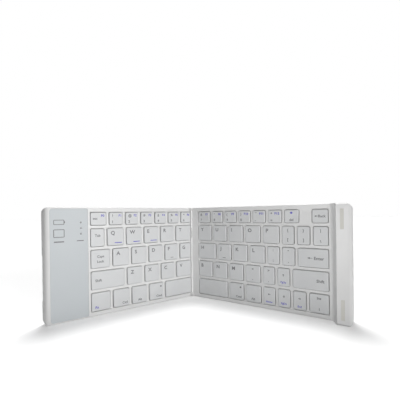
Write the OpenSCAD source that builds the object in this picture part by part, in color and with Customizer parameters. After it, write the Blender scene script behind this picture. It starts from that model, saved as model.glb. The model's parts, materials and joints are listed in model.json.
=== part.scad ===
// Folding pocket keyboard, standing half open on its front edges.
// Two key halves turn about one fold axis; the right half carries a raised battery bar.
// All sizes are in millimetres.

/* [Overall] */
// Depth wanted for each half, from the front edge to the rear edge; long cells make it deeper
wanted_depth = 96; // [94:1:104]
// Thickness of one half, from the plane where the halves meet to its back
half_thickness = 7.6; // [7.6:0.1:9]
// Angle by which each half leans out of the flat plane as it stands
splay_angle = 32.5; // [15:0.5:50]
// Thickness of the casing walls
shell_wall = 1.2; // [1:0.05:1.3]

/* [Keys] */
// Distance from one letter key to the next along a row
letter_pitch = 17.5; // [17:0.1:19]
// Distance that a key goes down
key_travel = 1.5; // [1:0.1:1.5]
// Gap between two neighbouring caps along a row
cap_spacing = 2.6; // [2.4:0.1:2.8]
// Gap all round between a cap and its opening
cap_clearance = 0.4; // [0.3:0.05:0.5]

/* [Fold hinge] */
// Radius of the two hinge pins
hinge_pin_radius = 0.9; // [0.7:0.05:1]
// Radial running gap between a pin and the knuckle that turns on it
hinge_running_gap = 0.05; // [0.02:0.01:0.1]
// Radius of the hinge knuckles
knuckle_radius = 1.9; // [1.7:0.05:1.9]

/* [Battery bar] */
// Diameter of one battery cell
cell_diameter = 10.5; // [9:0.1:10.5]
// Length of one battery cell with its nub
cell_length = 44.5; // [42:0.5:44.5]

/* [Back] */
// Width of the slide-out stand tongue
tongue_width = 37; // [30:1:37]
// Length of the stand tongue with its arched end
tongue_length = 75; // [60:1:75]
// Height of the round rail along the rear edge above the flat back
rail_rise = 3; // [1:0.5:4]

/* [Hidden] */
$fn = 48;

// The cells lie in line in the bar, so they set the least depth of the halves.
contact_thickness = 0.4;
spring_bow = 1.5;
spring_room = 0.3;
cell_gap = 0.05;
cells_need = 2 * (cell_length + shell_wall + contact_thickness + spring_bow) + cell_gap + spring_room;
body_depth = max(wanted_depth, cells_need);

// Heights, measured up from the plane where the two halves meet.
cap_top = -0.3;
cap_skin = 0.9;
skirt_depth = 2.1;
rim_top = -0.6;
web_top = -2.2;
sheet_top = -4.0;
dome_sheet_thickness = 0.3;
contact_sheet_thickness = 0.3;
plate_thickness = 0.4;
contact_top = sheet_top - dome_sheet_thickness;
plate_top = contact_top - contact_sheet_thickness;
plate_under = plate_top - plate_thickness;
back = -half_thickness;
floor_top = back + shell_wall;
rail_back = back - rail_rise;
rail_floor = rail_back + shell_wall;

// Plan of the halves, measured outwards from the fold axis.
fold_gap = 0.15;
left_field_start = 0.063 * letter_pitch;
left_field_units = 5.83;
right_field_start = 8.7;
right_field_units = 7.163;
field_margin = 1.75;
left_field_end = left_field_start + left_field_units * letter_pitch;
right_field_end = right_field_start + right_field_units * letter_pitch;
panel_zone = 33.375;
// The left half's outer end leans out towards its back, and the bar's inner side leans with it.
end_lean = 22;
end_blunt = 0.23;
face_corner = left_field_end + cap_clearance + panel_zone;
left_length = face_corner + (half_thickness + rim_top) * tan(end_lean) - end_blunt;
bar_foot = right_field_end + cap_clearance + 0.25;
bead_width = left_field_start - cap_clearance - fold_gap;
bead_top = -0.1;
nest_gap = 0.5;
bar_in = face_corner + nest_gap + 2 * rim_top * tan(end_lean);
bar_wall_room = 0.77;
cell_shift = 0.35;
bar_out = bar_in + 2 * shell_wall + cell_diameter + 2 * bar_wall_room;
bar_top = half_thickness;
fillet_radius = (bar_in - bar_foot) / tan((90 - end_lean) / 2);
bar_inner_top = bar_in + (bar_top - rim_top) * tan(end_lean);
bar_round = 3;
end_round = 4;
face_tangent = end_round * tan((90 - end_lean) / 2);
lean_room = left_length - face_corner + (sheet_top - rim_top) * tan(end_lean);
edge_round = 1;
back_round = 2.4;
corner_radius = 5;
over = 1;

// Rows, from the front: four rows of full caps, then the shallow number row.
front_border = 4.2;
rear_border = 4.5;
number_cap_depth = 11.5;
row_gap = 2.95;
row_pitch = (body_depth - front_border - rear_border - number_cap_depth) / 4;
cap_depth = row_pitch - row_gap;
cap_corner = 1.4;
cap_wall = 0.8;
stem_radius = 1.5;
stem_length = 1.2;

function row_start(k) = front_border + k * row_pitch;
function row_depth(k) = k == 4 ? number_cap_depth : cap_depth;

// Cell widths in letter pitches, from the fold outwards; rows from the front. Zero marks no key.
left_rows = [
  [1.82, 1, 1, 1, 1.01],
  [1.07, 1, 1, 1, 1.76],
  [0.82, 1, 1, 1, 1, 1.01],
  [1.09, 1, 1, 1, 1, 0.74],
  [0.73, 0.85, 0.85, 0.85, 0.85, 0.85, 0.85]
];
right_rows = [
  [1.96, 0.99, 0.99, 0.76, 0.76, 0.76, 0.943],
  [0.98, 0.98, 0.98, 0.98, 0.76, 0.76, 1.723],
  [1.22, 0.985, 0.985, 0.985, 0.765, 0.765, 1.458],
  [0.94, 1, 1, 1, 1, 0.741, 0.741, 0.741],
  [0.845, 0.845, 0.845, 0.845, 0.845, 0.845, 0.845, 1.248]
];
blank_before_last = 0.46;

function sum_to(v, n, i = 0) = i >= n ? 0 : v[i] + sum_to(v, n, i + 1);
function rows_of(side) = side > 0 ? right_rows : left_rows;
function field_start(side) = side > 0 ? right_field_start : left_field_start;
function cell_from(side, k, i) = field_start(side) + letter_pitch * sum_to(rows_of(side)[k], i)
  + (side > 0 && k == 4 && i == 7 ? blank_before_last * letter_pitch : 0);
function cell_to(side, k, i) = field_start(side) + letter_pitch * sum_to(rows_of(side)[k], i + 1);
function cap_from(side, k, i) = cell_from(side, k, i) + (i == 0 ? 0 : cap_spacing / 2);
function cap_to(side, k, i) = cell_to(side, k, i)
  - (i == len(rows_of(side)[k]) - 1 ? 0 : cap_spacing / 2);

// Hinge.
knuckle_length = 1.6;
knuckle_inset = 0.4;
knuckle_gap = 0.15;
leaf_length = 7;
leaf_top = -1.1;
leaf_under = -3.2;
relief = 0.15;
// Where the knuckles of each half start, front and rear.
knuckle_right = [knuckle_inset, body_depth - knuckle_inset - knuckle_length];
knuckle_left = [knuckle_inset + knuckle_length + knuckle_gap,
  body_depth - knuckle_inset - 2 * knuckle_length - knuckle_gap];

// Screws.
screw_radius = 0.7;
screw_head_radius = 1.5;
screw_head_height = 0.8;
screw_recess = 0.3;
screw_tip = -2.6;
boss_radius = 2.3;
left_screw_places = [[8, 0], [52, 0], [8, 2], [52, 2], [98, 2]];
right_screw_places = [[13, 0], [60, 0], [108, 0], [13, 2], [60, 2], [108, 2]];
function web_middle(k) = row_start(k + 1) - row_gap / 2;

// Stand tongue.
tongue_thickness = 1;
tongue_gap = 0.2;
tongue_flange = 1;
flange_thickness = 0.45;
tongue_share = 0.3917;
tongue_middle = tongue_share * body_depth;
tongue_end = left_length - 0.3;
roof_thickness = 0.75;
lip_rise = 0.8;
lip_outer = 10.5;
lip_width = 4;
lip_from_end = 3;

// Status panel, board and lights.
panel_from = left_field_end + cap_clearance + field_margin;
panel_margin = 1.3;
panel_top = -0.8;
panel_under = -2;
panel_to = face_corner - face_tangent - 0.2;
panel_corner = 2;
board_top = -4.4;
board_thickness = 0.8;
board_from = panel_from + 3;
board_to = left_length - 4;
board_inset = 3;
board_rear_post = body_depth - 18;
light_spacing = 4.8;
light_first = 13.1;
light_radius = 0.8;
light_place = left_length - 28.75;
switch_middle = left_length - 17;
switch_travel = 2.5;
switch_knob = 4;
switch_slot_height = 1.6;
switch_level = -6.4;

// Ribbon cable across the fold.
ribbon_level = plate_under - 0.3;
ribbon_thickness = 0.2;
ribbon_width = 11;
ribbon_front = row_start(3) + 2;
ribbon_room = 0.5;
ribbon_reach = 16;

// Battery door and pads.
door_from_end = 9;
door_seam = bar_in + shell_wall + 0.1;
door_gap = 0.15;
pad_thickness = 0.6;
pad_proud = 0.3;
pad_width = 2.6;
pad_length = 16;
foot_width = 3;
foot_length = 46;
foot_places = [12, 76];
foot_depths = [5, body_depth - 11];

pad_from = bar_out - 8.4;
pad_inset = 4.5;
pad_fronts = [pad_inset, body_depth - pad_inset - pad_length];

// Battery cells, their contacts and the ribs that hold them.
contact_width = 3.6;
cell_middle = bar_in + shell_wall + bar_wall_room + cell_shift + cell_diameter / 2;
cell_rear = body_depth - shell_wall - contact_thickness;
cell_front = cell_rear - 2 * cell_length - cell_gap;
nub_length = 1.2;
nub_radius = 1.9;
saddle_shares = [0.1458, 0.3542, 0.6458, 0.8542];

// Domes and scissor links under the caps.
dome_base = 2.2;
dome_crown = 1.5;
dome_skin = 0.3;
dome_top = cap_top - cap_skin - stem_length;
link_width = 8.2;
link_span = 8.4;
link_bar = 0.8;
link_gap = 0.2;
link_thickness = 0.6;
link_tilt = 15.3;
link_middle = (sheet_top + cap_top - cap_skin) / 2;
wide_cap = 24;

// Where the middle of the standing part's outline lies.
middle_x = (bar_out - left_length) / 2 * cos(splay_angle);
middle_y = (rail_back * -cos(splay_angle) - bar_out * sin(splay_angle) - bar_top * cos(splay_angle)
  + bar_round) / 2;

// Frames of reference.

module right_side() {
  translate([-middle_x, -middle_y, 0]) rotate([0, 0, -splay_angle]) rotate([90, 0, 0])
    children();
}

module left_side() {
  translate([-middle_x, -middle_y, 0]) rotate([0, 0, splay_angle]) rotate([90, 0, 0])
    mirror([1, 0, 0]) children();
}

module side_of(side) {
  if (side > 0) right_side() children();
  else left_side() children();
}

// A flat block from one corner to the other.
module block(a, b) {
  translate(a) cube([b[0] - a[0], b[1] - a[1], b[2] - a[2]]);
}

// A rectangle with one round at each corner: low-low, high-low, high-high, low-high.
module round_rect(a, b, r) {
  difference() {
    translate(a) square([b[0] - a[0], b[1] - a[1]]);
    for (c = [0:3]) if (r[c] > 0) {
      px = (c == 0 || c == 3) ? a[0] : b[0];
      py = c < 2 ? a[1] : b[1];
      dx = (c == 0 || c == 3) ? 1 : -1;
      dy = c < 2 ? 1 : -1;
      difference() {
        translate([px - (dx < 0 ? r[c] : over), py - (dy < 0 ? r[c] : over)])
          square([r[c] + over, r[c] + over]);
        translate([px + dx * r[c], py + dy * r[c]]) circle(r[c]);
      }
    }
  }
}

// Stands an outline drawn along the half and up, and runs it over the depth.
module along_depth(from, to) {
  translate([0, to, 0]) rotate([90, 0, 0]) linear_extrude(to - from) children();
}

// Stands an outline drawn over the depth and up, and runs it along the half.
module along_length(from, to) {
  translate([from, 0, 0]) rotate([90, 0, 90]) linear_extrude(to - from) children();
}

// Runs an outline drawn in plan from one height to another.
module along_height(from, to) {
  translate([0, 0, from]) linear_extrude(to - from) children();
}

// Depth section of a half with its rear rail.
module rail_section(top, round_top, rail) {
  rail_width = 18;
  round_rect([0, back], [body_depth, top], [back_round, back_round, round_top, round_top]);
  if (rail) translate([body_depth - rail_width, 0])
    round_rect([0, rail_back], [rail_width, back + back_round + over],
      [min(rail_rise, back_round), back_round + 1, 0, 0]);
}

module plan(from, to, inset = 0) {
  r = corner_radius - inset;
  linear_extrude(60, center = true)
    round_rect([from, inset], [to - inset, body_depth - inset], [0, r, r, 0]);
}

module left_form() {
  intersection() {
    plan(fold_gap, left_length);
    along_length(0, left_length + over) rail_section(rim_top, edge_round, true);
    along_depth(-over, body_depth + over) left_end_section();
  }
}

// Section of the left half along its length: the face rounds over into the leaning end.
module left_end_section() {
  middle = [face_corner - face_tangent, rim_top - end_round];
  difference() {
    intersection() {
      polygon([[fold_gap, rail_back - over], [left_length, rail_back - over],
        [left_length, rim_top - (left_length - face_corner) / tan(end_lean)],
        [face_corner, rim_top], [fold_gap, rim_top]]);
      round_rect([fold_gap, rail_back - over], [left_length, rim_top],
        [0, back_round + 2, 0, 0]);
    }
    difference() {
      polygon([middle, middle + [0, end_round + over], [face_corner + 2 * over, rim_top + over],
        middle + (end_round + over) * [cos(end_lean), sin(end_lean)]]);
      translate(middle) circle(end_round);
    }
  }
}

module right_form() {
  intersection() {
    plan(fold_gap, bar_out);
    union() {
      along_length(0, bar_in) rail_section(rim_top, edge_round, true);
      along_length(bar_in - over, bar_out + over) rail_section(rim_top, 0, false);
    }
    along_depth(-over, body_depth + over)
      round_rect([fold_gap, rail_back - over], [bar_out, rim_top], [0, back_round + 2, 0, 0]);
  }
}

module bar_form() {
  reach = bar_in - bar_foot;
  intersection() {
    plan(fold_gap, bar_out);
    along_length(bar_foot - over, bar_out + over)
      round_rect([0, sheet_top], [body_depth, bar_top], [0, 0, back_round, back_round]);
    along_depth(-over, body_depth + over) union() {
      intersection() {
        polygon([[bar_in, sheet_top], [bar_out, sheet_top], [bar_out, bar_top],
          [bar_inner_top, bar_top], [bar_in, rim_top]]);
        round_rect([bar_foot, sheet_top], [bar_out, bar_top], [0, 0, bar_round, 0]);
      }
      translate([bar_foot + over / 2, sheet_top])
        square([bar_in - bar_foot, rim_top - sheet_top]);
      difference() {
        polygon([[bar_foot, rim_top], [bar_in + over, rim_top],
          [bar_in + reach * sin(end_lean) + over, rim_top + reach * cos(end_lean)],
          [bar_in + reach * sin(end_lean), rim_top + reach * cos(end_lean)]]);
        translate([bar_foot, rim_top + fillet_radius]) circle(fillet_radius);
      }
    }
  }
}

// Openings of the keys of one half.
module key_openings(side) {
  for (k = [0:4]) for (i = [0:len(rows_of(side)[k]) - 1]) {
    r = cap_corner + cap_clearance;
    along_height(sheet_top - over, over)
      round_rect([cap_from(side, k, i) - cap_clearance, row_start(k) - cap_clearance],
        [cap_to(side, k, i) + cap_clearance, row_start(k) + row_depth(k) + cap_clearance],
        [r, r, r, r]);
  }
}

module screw_holes(places, radius, from, to) {
  for (p = places) translate([p[0], web_middle(p[1]), from]) cylinder(h = to - from, r = radius);
}

module top_frame(side, length) {
  difference() {
    union() {
      intersection() {
        if (side > 0) right_form();
        else left_form();
        block([0, -over, sheet_top], [length, body_depth + over, over]);
      }
      // The bead along the fold, which closes the view between the halves.
      block([fold_gap, front_border, rim_top - over],
        [fold_gap + bead_width, body_depth - rear_border, bead_top]);
    }
    // The web between the caps lies lower than the rim.
    if (side > 0)
      block([right_field_start - cap_clearance, front_border - cap_clearance, web_top],
        [right_field_end + cap_clearance, body_depth - rear_border + cap_clearance, over]);
    else
      block([fold_gap + bead_width, front_border - cap_clearance, web_top],
        [left_field_end + cap_clearance, body_depth - rear_border + cap_clearance, over]);
    key_openings(side);
    leaf_pockets(side);
    screw_holes(side > 0 ? right_screw_places : left_screw_places, screw_radius,
      sheet_top - over, screw_tip);
  }
}

module back_shell(side, length) {
  inner = side > 0 ? length : length - lean_room;
  difference() {
    union() {
      difference() {
        intersection() {
          if (side > 0) right_form();
          else left_form();
          block([0, -over, rail_back - over], [length, body_depth + over, sheet_top]);
        }
        // The cavity, and the deeper one in the rail.
        difference() {
          intersection() {
            plan(fold_gap, inner, shell_wall);
            block([fold_gap + shell_wall, 0, floor_top], [inner - shell_wall, body_depth, over]);
          }
          if (side > 0) difference() {
            block([bar_in - shell_wall, 0, rail_back], [bar_in + shell_wall, body_depth, sheet_top]);
            block([bar_in - shell_wall - over, ribbon_front, plate_under],
              [bar_in + shell_wall + over, ribbon_front + ribbon_width, over]);
          }
        }
        block([fold_gap + shell_wall, body_depth - 16, rail_floor],
          [(side > 0 ? bar_in : length - corner_radius) - shell_wall,
            body_depth - shell_wall - 1, floor_top + over / 2]);
      }
      // Ribs and bosses that hold the key plate.
      difference() {
        union() {
          for (s = side > 0 ? [22, 48, 74, 100, 124] : [22, 44])
            block([s, shell_wall, floor_top - 0.2], [s + shell_wall, body_depth - 17, plate_under]);
          screw_holes(side > 0 ? right_screw_places : left_screw_places, boss_radius,
            floor_top - 0.2, plate_under);
        }
        if (side < 0) ribbon_way();
      }
      if (side < 0) for (s = [board_from + 2.5, board_to - 2.5]) for (y = [8, board_rear_post])
        translate([s, y, floor_top - 0.2])
          cylinder(h = board_top - board_thickness - floor_top + 0.2, r = 1.5);
    }
    screw_holes(side > 0 ? right_screw_places : left_screw_places, screw_radius,
      rail_back - over, over);
    screw_holes(side > 0 ? right_screw_places : left_screw_places, screw_head_radius,
      rail_back - over, back + screw_recess + screw_head_height);
    foot_beds(side);
  }
}

module leaf_outline(turning) {
  circle(turning);
  translate([0, leaf_under]) square([leaf_length, leaf_top - leaf_under]);
  translate([0, leaf_under]) square([knuckle_radius, -leaf_under]);
}

module hinge_leaves(side, bore) {
  difference() {
    for (y = side > 0 ? knuckle_right : knuckle_left)
      along_depth(y, y + knuckle_length) leaf_outline(knuckle_radius);
    along_depth(-over, body_depth + over) circle(bore);
  }
}

module leaf_pockets(side) {
  for (y = side > 0 ? knuckle_right : knuckle_left)
    along_depth(y, y + knuckle_length) leaf_outline(knuckle_radius);
  // Room for the other half's knuckles to turn.
  for (y = side > 0 ? knuckle_left : knuckle_right)
    along_depth(y - knuckle_gap / 2, y + knuckle_length + knuckle_gap / 2)
      circle(knuckle_radius + relief);
}

module ribbon_way() {
  block([-over, ribbon_front - ribbon_room, ribbon_level - ribbon_thickness - ribbon_room / 2],
    [board_from + over, ribbon_front + ribbon_width + ribbon_room, plate_under + over]);
}

module foot_beds(side) {
  length = foot_length;
  for (s = foot_places) for (y = foot_depths)
    translate([0, 0, y > body_depth / 2 ? rail_back : back])
      block([s, y, -over], [s + length, y + foot_width, pad_thickness - pad_proud]);
}

// Sheets and plate under the keys.
module sheet_stack(side, from, thickness, hole) {
  start = fold_gap + shell_wall + 0.15;
  end = side > 0 ? bar_in - shell_wall - 0.15 : left_field_end + cap_clearance;
  difference() {
    block([start, shell_wall + 0.15, from - thickness],
      [end, body_depth - shell_wall - 0.15, from]);
    screw_holes(side > 0 ? right_screw_places : left_screw_places, hole,
      from - thickness - over, from + over);
  }
}

// Calls its children at each dome place of a half: one in the middle of every cap.
module at_keys(side) {
  for (k = [0:4]) for (i = [0:len(rows_of(side)[k]) - 1])
    translate([(cap_from(side, k, i) + cap_to(side, k, i)) / 2,
      row_start(k) + row_depth(k) / 2, 0]) children();
}

module dome_sheet(side) {
  difference() {
    union() {
      sheet_stack(side, sheet_top, dome_sheet_thickness, screw_radius + 0.3);
      at_keys(side) translate([0, 0, sheet_top - dome_skin / 2])
        cylinder(h = dome_top - sheet_top + dome_skin / 2, r1 = dome_base, r2 = dome_crown);
    }
    at_keys(side) translate([0, 0, contact_top - over])
      cylinder(h = dome_top - contact_top + over - dome_skin, r1 = dome_base - dome_skin,
        r2 = dome_crown - dome_skin);
  }
}

module link_frame(width, tilt) {
  translate([0, 0, link_middle]) rotate([tilt, 0, 0]) difference() {
    cube([width, link_span, link_thickness], center = true);
    cube([width - 2 * link_bar, link_span - 2 * link_bar, link_thickness + over], center = true);
  }
}

module scissor_links(side) {
  for (k = [0:4]) for (i = [0:len(rows_of(side)[k]) - 1]) {
    width = cap_to(side, k, i) - cap_from(side, k, i);
    for (d = width > wide_cap ? [-width / 4, width / 4] : [0])
      translate([(cap_from(side, k, i) + cap_to(side, k, i)) / 2 + d,
        row_start(k) + row_depth(k) / 2, 0]) {
        link_frame(link_width, link_tilt);
        link_frame(link_width - 2 * link_bar - 2 * link_gap, -link_tilt);
      }
  }
}

// Caps of one row, chosen by their places counted from the fold.
module caps(side, k, places) {
  side_of(side) for (i = places) {
    a = [cap_from(side, k, i), row_start(k)];
    b = [cap_to(side, k, i), row_start(k) + row_depth(k)];
    r = cap_corner;
    difference() {
      translate([0, 0, cap_top - skirt_depth]) linear_extrude(skirt_depth)
        round_rect(a, b, [r, r, r, r]);
      block([a[0] + cap_wall, a[1] + cap_wall, cap_top - skirt_depth - over],
        [b[0] - cap_wall, b[1] - cap_wall, cap_top - cap_skin]);
    }
    translate([(a[0] + b[0]) / 2, (a[1] + b[1]) / 2, cap_top - cap_skin - stem_length])
      cylinder(h = stem_length + cap_skin / 2, r = stem_radius);
  }
}

// Right half.

module right_back_shell() {
  color("whitesmoke") right_side() difference() {
    back_shell(1, bar_out);
    // The bar's cavity, the door's opening and the way in for the ribbon.
    battery_room();
    door_outline(door_gap);
    ribbon_way_in();
  }
}

module ribbon_way_in() {
  block([-over, ribbon_front - ribbon_room, ribbon_level - ribbon_thickness - ribbon_room / 2],
    [ribbon_reach + 3, ribbon_front + ribbon_width + ribbon_room, plate_under]);
}

module battery_room() {
  from = bar_in + shell_wall / cos(end_lean);
  top = bar_top - shell_wall;
  intersection() {
    plan(from, bar_out, shell_wall);
    along_depth(0, body_depth) polygon([[from, floor_top], [bar_out - shell_wall, floor_top],
      [bar_out - shell_wall, top], [from + (top - rim_top) * tan(end_lean), top],
      [from, rim_top]]);
  }
}

// The battery door's block, grown by a gap where it meets the shell.
module door_outline(grow) {
  block([door_seam - grow, door_from_end - grow, rail_back - over],
    [bar_out + over, body_depth - door_from_end + grow, sheet_top]);
}

module right_top_frame() {
  color("white") right_side() difference() {
    top_frame(1, bar_foot + over / 2);
    battery_room();
  }
}

module bar_cover() {
  color("white") right_side() difference() {
    bar_form();
    difference() {
      battery_room();
      cell_saddles();
    }
    for (y = pad_fronts)
      block([pad_from, y, bar_top - pad_thickness + pad_proud],
        [pad_from + pad_width, y + pad_length, bar_top + over]);
  }
}

// Ribs that hold the cells down from above.
module cell_saddles() {
  difference() {
    for (share = saddle_shares) block([bar_in, share * body_depth, cell_diameter / 4],
      [bar_out, share * body_depth + shell_wall, bar_top]);
    translate([cell_middle, body_depth, 0]) rotate([90, 0, 0])
      cylinder(h = body_depth, r = cell_diameter / 2);
  }
}

module battery_door() {
  color("whitesmoke") right_side() difference() {
    intersection() {
      right_form();
      door_outline(0);
    }
    battery_room();
  }
}

module battery_cells() {
  color("dimgray") right_side() for (n = [0, 1])
    translate([cell_middle, cell_rear - n * (cell_length + cell_gap), 0]) rotate([90, 0, 0]) {
      translate([0, 0, nub_length]) cylinder(h = cell_length - nub_length, r = cell_diameter / 2);
      cylinder(h = nub_length + over / 2, r = nub_radius);
    }
}

module battery_contacts() {
  color("silver") right_side() {
    // Rear plate against the nub, front plate and its bent spring against the flat end.
    block([cell_middle - contact_width / 2, cell_rear, -contact_width / 2],
      [cell_middle + contact_width / 2, cell_rear + contact_thickness, contact_width / 2]);
    along_height(-contact_width / 4, contact_width / 4) difference() {
      union() {
        translate([cell_middle - contact_width / 2, shell_wall])
          square([contact_width, contact_thickness]);
        translate([cell_middle, cell_front - spring_bow]) circle(spring_bow);
        translate([cell_middle - contact_thickness / 2, shell_wall])
          square([contact_thickness, cell_front - 2 * spring_bow - shell_wall + contact_thickness]);
      }
      translate([cell_middle, cell_front - spring_bow]) circle(spring_bow - contact_thickness);
    }
  }
}

module right_key_plate() {
  color("silver") right_side() sheet_stack(1, plate_top, plate_thickness, screw_radius + 0.3);
}

module right_contact_sheet() {
  color("tan") right_side()
    sheet_stack(1, contact_top, contact_sheet_thickness, screw_radius + 0.3);
}

module right_dome_sheet() { color("gainsboro") right_side() dome_sheet(1); }

module right_scissor_links() { color("ivory") right_side() scissor_links(1); }

module screws(places) {
  for (p = places) translate([p[0], web_middle(p[1]), 0]) difference() {
    union() {
      translate([0, 0, back + screw_recess]) cylinder(h = screw_head_height, r = screw_head_radius);
      translate([0, 0, back + screw_recess])
        cylinder(h = screw_tip - back - screw_recess, r = screw_radius);
    }
    for (a = [0, 90]) translate([0, 0, back + screw_recess]) rotate([0, 0, a])
      cube([1.7, 0.4, 0.6], center = true);
  }
}

module right_screws() { color("white") right_side() screws(right_screw_places); }

module feet(side) {
  for (s = foot_places) for (y = foot_depths)
    translate([0, 0, y > body_depth / 2 ? rail_back : back])
      block([s, y, -pad_proud], [s + foot_length, y + foot_width, pad_thickness - pad_proud]);
}

module right_pads() {
  color("darkgray") right_side() {
    feet(1);
    for (y = pad_fronts)
      block([pad_from, y, bar_top - pad_thickness + pad_proud],
        [pad_from + pad_width, y + pad_length, bar_top]);
  }
}

module right_hinge_leaves() { color("silver") right_side() hinge_leaves(1, hinge_pin_radius); }

module hinge_pins() {
  color("silver") right_side() for (y = [knuckle_right[0], knuckle_left[1]])
    translate([0, y + 2 * knuckle_length + knuckle_gap, 0]) rotate([90, 0, 0])
      cylinder(h = 2 * knuckle_length + knuckle_gap, r = hinge_pin_radius);
}

// Left half.

module tongue_plan(grow, extra) {
  r = tongue_width / 2 + extra;
  start = tongue_end - tongue_length + tongue_width / 2;
  translate([start, tongue_middle]) circle(r + grow, $fn = 96);
  translate([start, tongue_middle - r - grow])
    square([tongue_end - start + (grow > 0 ? 2 * over : 0), 2 * (r + grow)]);
}

module tongue_body(grow) {
  translate([0, 0, back - (grow > 0 ? over : 0)])
    linear_extrude(tongue_thickness + (grow > 0 ? over + grow : 0)) tongue_plan(grow, 0);
  translate([0, 0, back + tongue_thickness - flange_thickness - grow])
    linear_extrude(flange_thickness + 2 * grow) tongue_plan(grow, tongue_flange);
}

module tongue_roof() {
  translate([0, 0, floor_top - 0.1]) linear_extrude(back + tongue_thickness + tongue_gap
    + roof_thickness - floor_top + 0.1) tongue_plan(shell_wall, tongue_flange);
}

module left_back_shell() {
  color("whitesmoke") left_side() difference() {
    union() {
      back_shell(-1, left_length);
      intersection() {
        left_form();
        tongue_roof();
      }
    }
    tongue_body(tongue_gap);
    ribbon_slot();
    switch_slot();
  }
}

module ribbon_slot() {
  block([-over, ribbon_front - ribbon_room, ribbon_level - ribbon_thickness - ribbon_room / 2],
    [fold_gap + shell_wall + over, ribbon_front + ribbon_width + ribbon_room, plate_under]);
}

module switch_slot() {
  block([switch_middle - switch_knob / 2 - switch_travel / 2 - 0.2, body_depth - 4,
    switch_level - switch_slot_height / 2 - 0.2],
    [switch_middle + switch_knob / 2 + switch_travel / 2 + 0.2, body_depth + over,
      switch_level + switch_slot_height / 2 + 0.2]);
}

module left_top_frame() {
  color("white") left_side() difference() {
    top_frame(-1, left_length);
    along_height(panel_under, over) panel_plan(0.1);
    block([panel_from + 1.5, panel_margin + 1.5, sheet_top - over],
      [panel_to - 1.5, body_depth - panel_margin - 1.5, over]);
  }
}

module panel_plan(grow) {
  round_rect([panel_from - grow, panel_margin - grow],
    [panel_to + grow, body_depth - panel_margin + grow],
    [0.6, panel_corner + grow, panel_corner + grow, 0.6]);
}

module light_holes(radius, from, to) {
  for (n = [0:2]) translate([light_place, body_depth - light_first - n * light_spacing, from])
    cylinder(h = to - from, r = radius);
}

module status_panel() {
  color("lightgray") left_side() difference() {
    along_height(panel_under, panel_top) panel_plan(0);
    light_holes(light_radius, panel_under - over, panel_top + over);
  }
}

module status_lights() {
  color("lightblue") left_side() light_holes(light_radius, board_top + 0.5, panel_top);
}

module controller_board() {
  color("seagreen") left_side() {
    block([board_from, board_inset, board_top - board_thickness],
      [board_to, body_depth - board_inset, board_top]);
    // Controller, radio can, crystal, light chips and the switch housing.
    block([board_from + 7, 34, board_top], [board_from + 15, 42, board_top + 1]);
    block([board_from + 6, 50, board_top], [board_from + 18, 64, board_top + 1.4]);
    block([board_from + 8, 26, board_top], [board_from + 11, 28, board_top + 0.9]);
    for (n = [0:2])
      translate([light_place, body_depth - light_first - n * light_spacing, board_top])
        cylinder(h = 0.5, r = 0.9);
    block([switch_middle - 4.2, body_depth - 8.2, switch_level - 1.6],
      [switch_middle + 4.2, body_depth - 4.2, board_top - board_thickness]);
    block([board_from, ribbon_front, ribbon_level],
      [board_from + 3, ribbon_front + ribbon_width, board_top - board_thickness]);
  }
}

module power_switch() {
  color("dimgray") left_side() {
    block([switch_middle - switch_knob / 2 - switch_travel / 2, body_depth - 4.1,
      switch_level - switch_slot_height / 2],
      [switch_middle + switch_knob / 2 - switch_travel / 2, body_depth - 0.2,
        switch_level + switch_slot_height / 2]);
  }
}

module left_key_plate() {
  color("silver") left_side() sheet_stack(-1, plate_top, plate_thickness, screw_radius + 0.3);
}

module left_contact_sheet() {
  color("tan") left_side()
    sheet_stack(-1, contact_top, contact_sheet_thickness, screw_radius + 0.3);
}

module left_dome_sheet() { color("gainsboro") left_side() dome_sheet(-1); }

module left_scissor_links() { color("ivory") left_side() scissor_links(-1); }

module left_screws() { color("white") left_side() screws(left_screw_places); }

module left_pads() { color("darkgray") left_side() feet(-1); }

module left_hinge_leaves() {
  color("silver") left_side() hinge_leaves(-1, hinge_pin_radius + hinge_running_gap);
}

module stand_tongue() {
  color("white") left_side() {
    tongue_body(0);
    // Crescent lip for a fingertip.
    translate([0, 0, back - lip_rise]) linear_extrude(lip_rise + over / 2) difference() {
      translate([tongue_end - lip_from_end - lip_outer, tongue_middle]) circle(lip_outer);
      translate([tongue_end - lip_from_end - lip_outer - lip_width, tongue_middle])
        circle(lip_outer + lip_width / 3);
    }
  }
}

module ribbon_cable() {
  color("peru") {
    right_side() block([fold_gap, ribbon_front, ribbon_level - ribbon_thickness],
      [ribbon_reach, ribbon_front + ribbon_width, ribbon_level]);
    left_side() block([fold_gap, ribbon_front, ribbon_level - ribbon_thickness],
      [board_from + 2, ribbon_front + ribbon_width, ribbon_level]);
    translate([-middle_x, -middle_y, ribbon_front]) rotate([0, 0, 90 - splay_angle])
      rotate_extrude(angle = 2 * splay_angle, $fn = 96)
        translate([-ribbon_level, 0]) square([ribbon_thickness, ribbon_width]);
  }
}

// Keys: one node for each group of neighbouring caps.

module key_space_left() { color("white") caps(-1, 0, [0]); }
module keys_ctrl_alt_cmd() { color("white") caps(-1, 0, [1, 2, 3]); }
module key_fn() { color("white") caps(-1, 0, [4]); }
module keys_c_v() { color("white") caps(-1, 1, [0, 1]); }
module keys_z_x() { color("white") caps(-1, 1, [2, 3]); }
module key_shift_left() { color("white") caps(-1, 1, [4]); }
module keys_d_f_g() { color("white") caps(-1, 2, [0, 1, 2]); }
module keys_caps_a_s() { color("white") caps(-1, 2, [3, 4, 5]); }
module keys_e_r_t() { color("white") caps(-1, 3, [0, 1, 2]); }
module keys_tab_q_w() { color("white") caps(-1, 3, [3, 4, 5]); }
module keys_5_6() { color("white") caps(-1, 4, [0, 1]); }
module keys_3_4() { color("white") caps(-1, 4, [2, 3]); }
module keys_esc_1_2() { color("white") caps(-1, 4, [4, 5, 6]); }
module key_space_right() { color("white") caps(1, 0, [0]); }
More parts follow.
